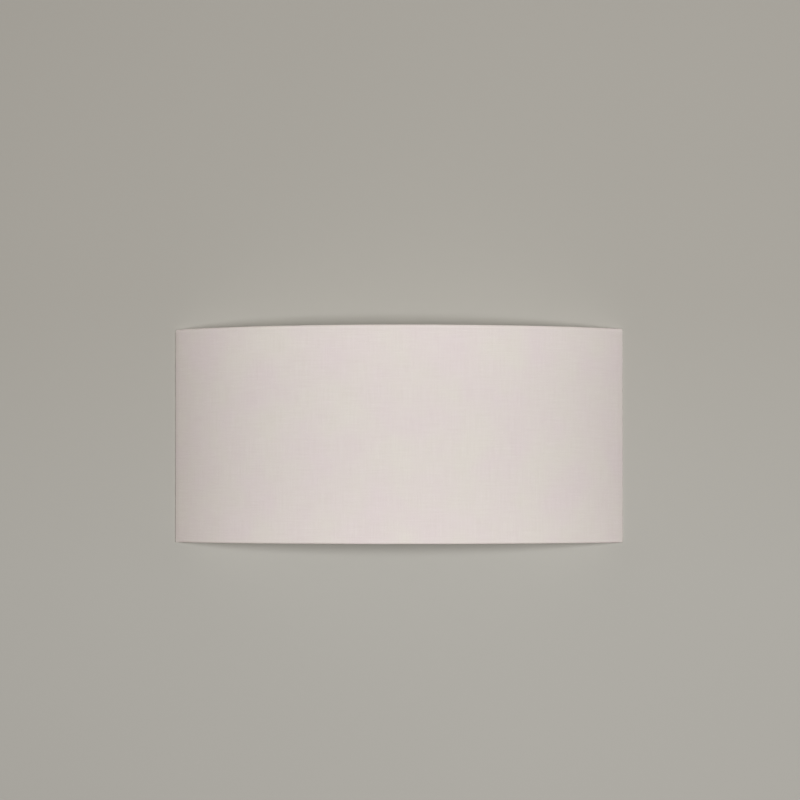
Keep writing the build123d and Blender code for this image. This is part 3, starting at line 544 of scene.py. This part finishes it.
up_warp = add(tree, "SeparateXYZ", {0: threads}).outputs[1]
from_middle = add(tree, "Math", {0: up_warp}, operation="ABSOLUTE")
# Painted light: lighter towards the top and bottom, with a painted highlight on the rolled edges. The knots
# added below are real lighter yarn.
painted_glow = add(tree, "MapRange", {"Value": from_middle, "From Min": GLOW_HEIGHTS[0], "From Max": GLOW_HEIGHTS[1],
                                   "To Min": 0.997, "To Max": 1.018}, interpolation_type="SMOOTHSTEP")
painted_roll_highlight = add(tree, "MapRange", {"Value": from_middle, "From Min": ROLL_HIGHLIGHT_HEIGHTS[0], "From Max": ROLL_HIGHLIGHT_HEIGHTS[1],
                                 "To Max": 0.13})
painted_light_and_knots = add(tree, "Math", {0: painted_glow, 1: painted_roll_highlight}, operation="ADD")
painted_light_and_knots = add(tree, "Math", {0: painted_light_and_knots, 1: knots}, operation="ADD")
# Painted shade in the hollows between the threads and a painted highlight on their crowns.
depth = add(tree, "MapRange", {"Value": weave, "To Min": 0.86, "To Max": 1.08})
level = add(tree, "Math", {0: depth, 1: painted_light_and_knots}, operation="MULTIPLY")
tone = add(tree, "MixRGB", {"Fac": 1.0, "Color1": undyed, "Color2": level}, blend_type="MULTIPLY")

raised = add(tree, "Math", {0: yarn, 1: 1.5, 2: weave}, operation="MULTIPLY_ADD")
bump = add(tree, "Bump", {"Height": raised, "Strength": 0.5, "Distance": 0.06 * MM})
woven = add(tree, "BsdfPrincipled", {"Base Color": tone, "Roughness": 0.92, "Diffuse Roughness": 0.33,
                                     "Sheen Weight": 0.1, "Sheen Roughness": 0.6,
                                     "Sheen Tint": "#F0C4B6", "Normal": bump})
glow = add(tree, "BsdfTranslucent", {"Color": tone})
add(tree, "OutputMaterial", {"Surface": add(tree, "MixShader", {0: 0.12, 1: woven, 2: glow})})

fabric = new_object("woven_shade", cloth_mesh, linen, "shade")
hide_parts("shade_fabric")

# %% [markdown]
# ## The liner behind the cloth
# The cloth is laminated to a stiff plastic sheet, which keeps the curve round and spreads the light of
# the bulbs. The sheet is extruded and then pressed flat between rollers, so it is smooth, with faint
# lines along the way it travelled, and it lets part of the light through. It is a piece of the
# construction model whose shape is right, so it only gets its finish.
# %% Liner sheet
def repaint(made, *nodes):
    """Gives a finish to nodes of the construction model."""
    for name in nodes:
        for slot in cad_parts[name].material_slots:
            slot.material = made
    print(made.name, "on", *nodes)


STREAK = (150.0, 150.0, 3.0)  # length along the curve and width of a roller line
MIDDLE = {"From Min": 0.3, "From Max": 0.7}  # range that a noise pattern seldom leaves

liner, tree = new_material("calendered_styrene_sheet")
place = add(tree, "TexCoord").outputs["Object"]
drawn = add(tree, "Mapping", {"Vector": place, "Scale": [1 / (size * MM) for size in STREAK]})
lines = add(tree, "TexNoise", {"Vector": drawn, "Scale": 1.0, "Detail": 2.0})
patches = add(tree, "TexNoise", {"Vector": place, "Scale": 1 / (9 * MM), "Detail": 2.0})
tone = add(tree, "MixRGB", {"Fac": lines, "Color1": "#E9E6E0", "Color2": "#F1EFEB"})
gloss = add(tree, "MapRange", {"Value": patches, **MIDDLE, "To Min": 0.38, "To Max": 0.55})
bump = add(tree, "Bump", {"Height": lines, "Strength": 0.4, "Distance": 0.05 * MM})
plastic = add(tree, "BsdfPrincipled", {"Base Color": tone, "Roughness": gloss, "Normal": bump})
through = add(tree, "BsdfTranslucent", {"Color": "#F2EEE6"})
add(tree, "OutputMaterial", {"Surface": add(tree, "MixShader", {0: 0.35, 1: plastic, 2: through})})
repaint(liner, "shade_liner")

# %% [markdown]
# ## White coatings
# The wire frame is dipped in white epoxy, which runs a little before it sets and leaves a smooth, soft
# gloss. The wall box and the lamp brackets are powder coated: the powder melts into a skin with the
# fine dimples that people call orange peel. Many finishes on this light differ only in their colours,
# gloss and size of pattern, so one function makes them all: the same unevenness tints the colour,
# breaks the gloss and raises the surface.
# %% Uneven finishes
def finish(name, dark, light, gloss, size, depth, stretch=(1, 1, 1), **shader_values):
    """A finish that varies between two colours and two roughnesses, in patches of a size in millimetres.

    depth is the height of its relief in millimetres, and stretch draws the patches out along an axis.
    """
    made, tree = new_material(name)
    place = add(tree, "TexCoord").outputs["Object"]
    scale = [1 / (size * MM * longer) for longer in stretch]
    pattern = add(tree, "TexNoise", {"Vector": add(tree, "Mapping", {"Vector": place, "Scale": scale}),
                                     "Scale": 1.0, "Detail": 3.0})
    tone = add(tree, "MixRGB", {"Fac": pattern, "Color1": dark, "Color2": light})
    rough = add(tree, "MapRange", {"Value": pattern, **MIDDLE, "To Min": gloss[0], "To Max": gloss[1]})
    bump = add(tree, "Bump", {"Height": pattern, "Strength": 0.5, "Distance": depth * MM})
    shader = add(tree, "BsdfPrincipled", {"Base Color": tone, "Roughness": rough, "Normal": bump,
                                          **shader_values})
    add(tree, "OutputMaterial", {"Surface": shader})
    return made


dip_coat = finish("epoxy_dip_coat", "#E3E1DA", "#F0EFEB", (0.28, 0.42), 2.5, 0.12, (1, 1, 3))
repaint(dip_coat, "top_ring_arc", "bottom_ring_arc", "top_rear_bar", "bottom_rear_bar",
        "left_corner_post", "right_corner_post", "left_fixing_strap", "right_fixing_strap")
powder_coat = finish("satin_powder_coat", "#E2E0DA", "#EDECE8", (0.36, 0.5), 1.2, 0.06)
repaint(powder_coat, "wall_box", "left_lamp_bracket", "right_lamp_bracket")

# %% [markdown]
# ## Weld beads
# The flat straps are welded to the straight wires of the frame. The metal melts for a moment and
# freezes as a small lump with a rippled skin, which the dip coat then covers. Each lump is a finely
# divided ball that is flattened against the wire and rippled by a sum of sines.
# %% Weld beads on the straps
STRAP_X = 101.05
BAR_Y = -3.17
BEAD = (1.9, 1.5, 2.1)  # half sizes of a bead
BEAD_FRONT = 1.2  # its middle lies this far in front of the bar's
BEAD_INSIDE = 0.7  # and this far inwards

made = bmesh.new()
for x in (-STRAP_X, STRAP_X):
    for z in (-RING_Z, RING_Z):
        lump = bmesh.ops.create_icosphere(made, subdivisions=4, radius=1.0)["verts"]
        for vertex in lump:
            at = vertex.co
            ripple = 1 + 0.05 * math.sin(5 * at.z + x) + 0.04 * math.sin(7 * at.x + 4 * at.y)
            placed = Vector([size * part * ripple for size, part in zip(BEAD, at)])
            inwards = BEAD_INSIDE if z < 0 else -BEAD_INSIDE
            vertex.co = (placed + Vector((x, BAR_Y - BEAD_FRONT, z + inwards))) * MM
bead_mesh = bpy.data.meshes.new("weld_beads")
made.to_mesh(bead_mesh)
made.free()
beads = new_object("weld_beads", bead_mesh, dip_coat, "shade")
print(beads.name, len(bead_mesh.vertices), "points")

# %% [markdown]
# ## Screw threads
# A thread is a groove that climbs once round for every pitch. On a turned piece that means its radius
# depends on both the height and the angle, so each ring of points is pulled in a little where the
# groove crosses it. A machine screw has straight flanks at sixty degrees. The screw caps of bulbs are
# rolled from thin sheet, so their thread is a soft wave.
# %% Threaded surfaces
THREAD_DEPTH = 0.6  # of a machine thread's pitch
STEEP, CREST = 1.25, 0.12  # steepness of its flanks, and how much of its crest is flat
BEVEL = 0.5
THREAD_RINGS = 6  # rings of points for each turn of a machine thread


def machine_groove(turn):
    """Depth of a machine thread, from 0 on its crest to 1 at its root, over one turn."""
    return min(1.0, max(0.0, STEEP * abs(2 * turn - 1) - CREST))


def rolled_groove(turn):
    """Depth of a thread rolled in sheet metal, a plain wave."""
    return 0.5 - 0.5 * math.cos(2 * math.pi * turn)


def threaded(section, pitch, groove, hollow=False, sides=40):
    """A turned piece along Z. section lists its radius, height and thread depth, in millimetres."""
    made = bmesh.new()
    rings = []
    for radius, height, depth in section:
        ring = []
        for i in range(sides):
            reach = (radius - depth * groove((height / pitch - i / sides) % 1.0)) * MM
            angle = 2 * math.pi * i / sides
            ring.append(made.verts.new((reach * math.cos(angle), reach * math.sin(angle), height * MM)))
        rings.append(ring)
    pairs = list(zip(rings, rings[1:])) + ([(rings[-1], rings[0])] if hollow else [])
    for first, last in pairs:
        for i in range(sides):
            made.faces.new((first[i - 1], first[i], last[i], last[i - 1]))
    if not hollow:
        made.faces.new(rings[0])
        made.faces.new(rings[-1])
    bmesh.ops.recalc_face_normals(made, faces=made.faces)
    mesh = bpy.data.meshes.new("threaded")
    made.to_mesh(mesh)
    made.free()
    return mesh


def rod_section(radius, length, pitch):
    """Section of a threaded rod with bevelled ends. The groove is as deep as its pitch asks."""
    section = []
    for height in steps(0.0, length, pitch / THREAD_RINGS):
        cut = max(0.0, BEVEL - min(height, length - height))
        section.append((radius - cut, height, max(0.0, THREAD_DEPTH * pitch - cut)))
    return section


def copies(mesh, places):
    """Copies of a mesh put in their places, as one mesh."""
    whole = bmesh.new()
    for place in places:
        copy = mesh.copy()
        copy.transform(place)
        whole.from_mesh(copy)
    result = bpy.data.meshes.new("joined")
    whole.to_mesh(result)
    whole.free()
    return result


def along(axis, start):
    """Placement that turns Z to an axis and moves it to a start, in millimetres."""
    return Matrix.Translation(Vector(start) * MM) @ turned_to(axis)


print("a thread of 0.7 mm pitch is", round(THREAD_DEPTH * 0.7, 2), "mm deep")

# %% [markdown]
# ## Plated steel
# The bracket, nuts and screws are zinc plated and passivated, which gives a cloudy shine that is very
# slightly blue. The washers of the thumbscrews, the cap nuts, the earth tags and the bulb caps are
# nickel plated, which is brighter and warmer, and keeps the fine lines of the polishing wheel.
# %% Zinc and nickel
zinc = finish("zinc_plated_steel", "#A9AEB2", "#BABDBF", (0.32, 0.42), 1.6, 0.02, Metallic=1.0)
repaint(zinc, "wall_bracket", "box_washers", "side_nuts", "front_nuts", "bracket_rivets", "lock_washers",
        "nipple_nuts", "terminal_screws")
nickel = finish("nickel_plate", "#C6C0B6", "#D9D5CE", (0.14, 0.26), 0.6, 0.01, (4, 1, 1), Metallic=1.0)
repaint(nickel, "dome_nuts", "left_thumb_washer", "right_thumb_washer", "earth_tags",
        "left_bulb_tip", "right_bulb_tip")

# %% [markdown]
# ## The threaded pieces
# The studs of the wall bracket and of the thumbscrews are four millimetres across, and the hollow
# nipples that carry the lampholders are ten. The construction model has them as plain rods and tubes,
# which is right for checking that nothing collides, so here each gets its real thread in its place.
# %% Studs and nipples
STUD_R = 2.0
STUD_PITCH = 0.7
NIPPLE_R = 5.0
NIPPLE_BORE_R = 3.6
NIPPLE_PITCH = 1.0


def in_place_of(node, name, mesh, made, body, axis, starts):
    """Puts a copy of a mesh at each start, along an axis, in place of a plain node."""
    whole = copies(mesh, [along(axis, start) for start in starts])
    piece = new_object(name, whole, made, body)
    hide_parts(node)
    print(name, "in place of", node, len(whole.vertices), "points")


def ends_of(node):
    """The corners of a node's box in millimetres, and its middle."""
    low, high = (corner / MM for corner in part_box(node))
    return low, high, (low + high) / 2


low, high, _ = ends_of("box_studs")
stud = threaded(rod_section(STUD_R, high.y - low.y, STUD_PITCH), STUD_PITCH, machine_groove)
stud_x = high.x - STUD_R
in_place_of("box_studs", "threaded_box_studs", stud, zinc, "wall_unit", (0, -1, 0),
            [(x, high.y, 0) for x in (-stud_x, stud_x)])

for hand, side in ((-1, "left"), (1, "right")):
    low, high, middle = ends_of(f"{side}_thumb_stud")
    stud = threaded(rod_section(STUD_R, high.x - low.x, STUD_PITCH), STUD_PITCH, machine_groove)
    start = (low.x if hand > 0 else high.x, middle.y, middle.z)
    in_place_of(f"{side}_thumb_stud", f"{side}_thumb_thread", stud, zinc, f"{side}_thumbscrew",
                (hand, 0, 0), [start])

low, high, middle = ends_of("nipples")
length = high.z - low.z
section = rod_section(NIPPLE_R, length, NIPPLE_PITCH) + [(NIPPLE_BORE_R, length, 0), (NIPPLE_BORE_R, 0, 0)]
tube = threaded(section, NIPPLE_PITCH, machine_groove, hollow=True)
lamp_x = high.x - NIPPLE_R
in_place_of("nipples", "threaded_nipples", tube, zinc, "wall_unit", (0, 0, 1),
            [(x, middle.y, low.z) for x in (-lamp_x, lamp_x)])

# %% [markdown]
# ## Screw caps and the shells they turn in
# A small bulb screws in with a rolled thread of nearly three millimetres pitch. The cap's thread fades
# out towards the glass, and the shell inside the lampholder is thin sheet with the same wave, a little
# wider, so that the cap runs freely.
# %% Bulb caps and screw shells
CAP_PITCH = 2.82
CAP_WAVE = 0.6
SHELL_T = 0.3
SHELL_WAVE = 0.22
CAP_FOOT = ((0.6, 0.0), (0.25, 0.35))  # rounded foot of a cap: how far in, and how high
CAP_BAND = ((0.15, 3.0), (0.15, 0.6), (0.0, 0.0))  # plain band: how far in, and how far below the top
THREAD_ENDS = (0.9, 4.0)  # the thread's points start this high and stop this far below the top
FADE_IN = (0.6, 1.5)  # the thread grows from this height, over this length
FADE_OUT = (3.4, 2.0)  # and fades up to this far below the top, over this length
ROLLED_SIDES = 64
ROLLED_RINGS = 10  # rings of points for each turn of a rolled thread

for side in ("left", "right"):
    low, high, middle = ends_of(f"{side}_bulb_cap")
    radius, length = (high.x - low.x) / 2, high.z - low.z
    section = [(radius - inset, height, 0) for inset, height in CAP_FOOT]
    for height in steps(THREAD_ENDS[0], length - THREAD_ENDS[1], CAP_PITCH / ROLLED_RINGS):
        fade = min(1.0, (height - FADE_IN[0]) / FADE_IN[1], (length - FADE_OUT[0] - height) / FADE_OUT[1])
        section.append((radius, height, CAP_WAVE * fade))
    section += [(radius - inset, length - below, 0) for inset, below in CAP_BAND]
    cap = threaded(section, CAP_PITCH, rolled_groove, sides=ROLLED_SIDES)
    in_place_of(f"{side}_bulb_cap", f"{side}_screw_cap", cap, nickel, f"{side}_bulb", (0, 0, 1),
                [(middle.x, middle.y, low.z)])

low, high, middle = ends_of("screw_shells")
radius = high.x - lamp_x
heights = steps(0.0, high.z - low.z, CAP_PITCH / ROLLED_RINGS)
outside = [(radius, height, SHELL_WAVE) for height in heights]
inside = [(radius - SHELL_T, height, SHELL_WAVE) for height in reversed(heights)]
shell = threaded(outside + inside, CAP_PITCH, rolled_groove, hollow=True, sides=ROLLED_SIDES)
in_place_of("screw_shells", "rolled_screw_shells", shell, nickel, "wall_unit", (0, 0, 1),
            [(x, middle.y, low.z) for x in (-lamp_x, lamp_x)])

# %% [markdown]
# ## Brass and bronze
# The thumbscrews are turned from brass bar. The tool leaves fine rings round the axis of the screw,
# drawn here half a millimetre apart so that they show, and fingers leave the metal darker in patches.
# The contacts are rolled bronze strip, with the grain of the rolling along them.
# %% Turned brass and rolled bronze
RING_PITCH = 0.5


def wave_scale(pitch):
    """The scale at which the wave pattern repeats every pitch, in millimetres."""
    return math.pi / 10 / (pitch * MM)


brass, tree = new_material("turned_brass")
place = add(tree, "TexCoord").outputs["Object"]
rings = add(tree, "TexWave", {"Vector": place, "Scale": wave_scale(RING_PITCH), "Distortion": 0.4},
            bands_direction="X")
patches = add(tree, "TexNoise", {"Vector": place, "Scale": 1 / (3 * MM), "Detail": 3.0})
tone = add(tree, "MixRGB", {"Fac": patches, "Color1": "#B39252", "Color2": "#D4B97C"})
gloss = add(tree, "MapRange", {"Value": patches, **MIDDLE, "To Min": 0.22, "To Max": 0.38})
bump = add(tree, "Bump", {"Height": rings.outputs["Fac"], "Strength": 0.4, "Distance": 0.03 * MM})
metal = add(tree, "BsdfPrincipled", {"Base Color": tone, "Roughness": gloss, "Metallic": 1.0, "Normal": bump})
add(tree, "OutputMaterial", {"Surface": metal})
repaint(brass, "left_thumb_knob", "right_thumb_knob", "terminal_barrels")

bronze = finish("rolled_spring_bronze", "#A9744A", "#C89669", (0.24, 0.36), 0.4, 0.01, (10, 1, 1),
                Metallic=1.0)
repaint(bronze, "centre_contacts")

# %% [markdown]
# ## Recesses in the screw heads
# The screws that hold the terminal block and the earth tags have a cross recess for the driver. Two
# thin blades, crossed and sunk into the head, cut the recess out of a copy of the plain screw. The
# copy is sealed first, because an imported mesh is split along its sharp edges.
# %% Cross recesses
BLADE = (0.9, 3.4)  # width and length of a blade of the driver
RECESS = 1.1
BLADE_TAPER = 0.7  # size of a blade's deep end, where its other end is 1
SEAL = 0.0005  # points nearer than this are joined


def blades(x, top, z, way):
    """The two blades of a driver's tip, sunk in a head whose top lies at a y and faces along way."""
    tips = []
    for width, height in (BLADE, BLADE[::-1]):
        made = bmesh.new()
        for corner in bmesh.ops.create_cube(made, size=1.0)["verts"]:
            taper = 1.0 if corner.co.y * way > 0 else BLADE_TAPER
            corner.co = Vector((corner.co.x * width * taper + x, corner.co.y * 2 * RECESS + top,
                                corner.co.z * height * taper + z)) * MM
        tips.append(bpy.data.meshes.new("blade"))
        made.to_mesh(tips[-1])
        made.free()
    return tips


def sealed(node):
    """A copy of a node's mesh with its split edges joined again."""
    made = bmesh.new()
    made.from_mesh(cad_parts[node].data)
    bmesh.ops.remove_doubles(made, verts=made.verts, dist=SEAL * MM)
    mesh = bpy.data.meshes.new(node)
    made.to_mesh(mesh)
    made.free()
    return mesh


_, high, middle = ends_of("block_screw")
crossed = cut_away(sealed("block_screw"), blades(middle.x, high.y, middle.z, 1))
block_screw = new_object("block_screw_recessed", crossed, zinc, "wall_unit")
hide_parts("block_screw")
print(block_screw.name, len(crossed.vertices), "points")

# %% [markdown]
# ## Mouldings
# Lampholders near a bulb are moulded in a hard white resin that stands heat. It has a satin gloss, with
# faint clouds where it flowed in the mould. The insulator under a bulb's cap is dark glass, pressed
# while it was soft, so it is glossy and gently uneven.
# %% White and dark mouldings
resin = finish("moulded_white_resin", "#E2DFD7", "#EFEDE7", (0.26, 0.38), 5.0, 0.05)
repaint(resin, "cable_bush", "wire_bushes", "terminal_block")
for side in ("left", "right"):
    repaint(resin, f"{side}_holder_base", f"{side}_holder_skirt", f"{side}_bulb_housing")
dark_glass = finish("pressed_dark_glass", "#101115", "#24262B", (0.1, 0.2), 1.5, 0.04)
repaint(dark_glass, "left_bulb_insulator", "right_bulb_insulator")

# %% [markdown]
# ## The bulbs
# A golf ball bulb has an opal dome: clear plastic with fine white particles in it, so light goes in,
# scatters and comes out softly. Under it sits a disc in white lacquer with the light-emitting chips,
# which are covered in yellow phosphor. Their tops are told from the disc by their height.
# %% Opal domes and chips
opal, tree = new_material("opal_polycarbonate")
place = add(tree, "TexCoord").outputs["Object"]
milky = add(tree, "TexNoise", {"Vector": place, "Scale": 1 / (12 * MM), "Detail": 2.0})
tone = add(tree, "MixRGB", {"Fac": milky, "Color1": "#ECEBE6", "Color2": "#F5F4F1"})
gloss = add(tree, "MapRange", {"Value": milky, **MIDDLE, "To Min": 0.26, "To Max": 0.36})
shell = add(tree, "BsdfPrincipled", {"Base Color": tone, "Roughness": gloss})
inner = add(tree, "BsdfTranslucent", {"Color": tone})
add(tree, "OutputMaterial", {"Surface": add(tree, "MixShader", {0: 0.4, 1: shell, 2: inner})})
repaint(opal, "left_bulb_dome", "right_bulb_dome")

CHIP_BASE = 1.7  # height over the underside of the disc above which a point lies on a chip
board_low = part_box("left_led_board")[0].z
lacquer, tree = new_material("lacquered_board_and_phosphor")
place = add(tree, "TexCoord").outputs["Object"]
grain = add(tree, "TexNoise", {"Vector": place, "Scale": 1 / (0.5 * MM), "Detail": 2.0})
tall = add(tree, "SeparateXYZ", {0: place}).outputs["Z"]
on_chip = add(tree, "Math", {0: tall, 1: board_low + CHIP_BASE * MM}, operation="GREATER_THAN")
white = add(tree, "MixRGB", {"Fac": grain, "Color1": "#E6E4DD", "Color2": "#F0EEE9"})
phosphor = add(tree, "MixRGB", {"Fac": grain, "Color1": "#E3C23C", "Color2": "#F0D75A"})
tone = add(tree, "MixRGB", {"Fac": on_chip, "Color1": white, "Color2": phosphor})
add(tree, "OutputMaterial", {"Surface": add(tree, "BsdfPrincipled", {"Base Color": tone, "Roughness": 0.4})})
repaint(lacquer, "left_led_board", "right_led_board")

# %% [markdown]
# ## Wires
# The wires inside are insulated in soft silicone, brown for live and blue for neutral. The earth wires
# are green with a yellow stripe along them, which is made here from the side that the surface faces.
# %% Wire insulation
brown = finish("brown_silicone", "#4A2A18", "#5A3521", (0.42, 0.58), 1.5, 0.03)
repaint(brown, "live_wires")
blue = finish("blue_silicone", "#1C4A86", "#2A5A98", (0.42, 0.58), 1.5, 0.03)
repaint(blue, "neutral_wires")

striped, tree = new_material("green_and_yellow_silicone")
place = add(tree, "TexCoord").outputs["Object"]
bloom = add(tree, "TexNoise", {"Vector": place, "Scale": 1 / (1.5 * MM), "Detail": 3.0})
green = add(tree, "MixRGB", {"Fac": bloom, "Color1": "#2F7A2C", "Color2": "#3A8A36"})
outside = add(tree, "NewGeometry").outputs["Normal"]
facing = add(tree, "VectorMath", {0: outside, 1: (1.0, 0.0, 0.8)}, operation="DOT_PRODUCT")
stripe = add(tree, "Math", {0: facing.outputs["Value"], 1: 0.45}, operation="GREATER_THAN")
tone = add(tree, "MixRGB", {"Fac": stripe, "Color1": green, "Color2": "#D9C437"})
bump = add(tree, "Bump", {"Height": bloom, "Strength": 0.4, "Distance": 0.03 * MM})
silicone = add(tree, "BsdfPrincipled", {"Base Color": tone, "Roughness": 0.5, "Normal": bump})
add(tree, "OutputMaterial", {"Surface": silicone})
repaint(striped, "earth_wires")

# %% [markdown]
# ## Braided sleeves
# Where the lamp wires pass near the bulbs they run in sleeves braided from glass fibre. Two sets of
# yarns wind round in opposite ways, which shows as small diamonds. Two wave patterns that cross make
# the same diamonds on a tube of any direction.
# %% Glass fibre sleeves
BRAID_PITCH = 1.3
BRAID_LEAN = 0.75

braid, tree = new_material("glass_fibre_braid")
place = add(tree, "TexCoord").outputs["Object"]
yarns = []
for turn in (BRAID_LEAN, -BRAID_LEAN):
    leaning = add(tree, "Mapping", {"Vector": place, "Rotation": (turn, turn, 0.4)})
    waves = add(tree, "TexWave", {"Vector": leaning, "Scale": wave_scale(BRAID_PITCH), "Distortion": 0.3})
    yarns.append(waves.outputs["Fac"])
crossing = add(tree, "Math", {0: yarns[0], 1: yarns[1]}, operation="MAXIMUM")
tone = add(tree, "MixRGB", {"Fac": crossing, "Color1": "#B9B5A8", "Color2": "#E4E1D8"})
bump = add(tree, "Bump", {"Height": crossing, "Strength": 0.7, "Distance": 0.15 * MM})
fibre = add(tree, "BsdfPrincipled", {"Base Color": tone, "Roughness": 0.65, "Normal": bump})
add(tree, "OutputMaterial", {"Surface": fibre})
repaint(braid, "wire_sleeves")

# %% [markdown]
# ## Earth screws
# The earth screws are brass so that they don't corrode against the copper wire. They get the same
# cross recess as the block's screw, one facing the room and the other facing the wall.
# %% Earth screws with recesses
EARTH_X = 34.0
EARTH_Z = (0.0, -22.0)  # on the bracket, and in the box
tops = [vertex.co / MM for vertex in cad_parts["earth_screws"].data.vertices]
on_bracket = min(point.y for point in tops if point.x > 0)
in_box = max(point.y for point in tops if point.x < 0)
recesses = blades(EARTH_X, on_bracket, EARTH_Z[0], -1) + blades(-EARTH_X, in_box, EARTH_Z[1], 1)
crossed = cut_away(sealed("earth_screws"), recesses)
earth_screws = new_object("earth_screws_recessed", crossed, brass, "wall_unit")
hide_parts("earth_screws")
print(earth_screws.name, len(crossed.vertices), "points")

# %% [markdown]
# ## Measure
# The looks must not change the object's size, so its box is measured again and printed.
# %% Sizes
low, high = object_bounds()
print("finished box", [round(v, 4) for v in (*low, *high)])
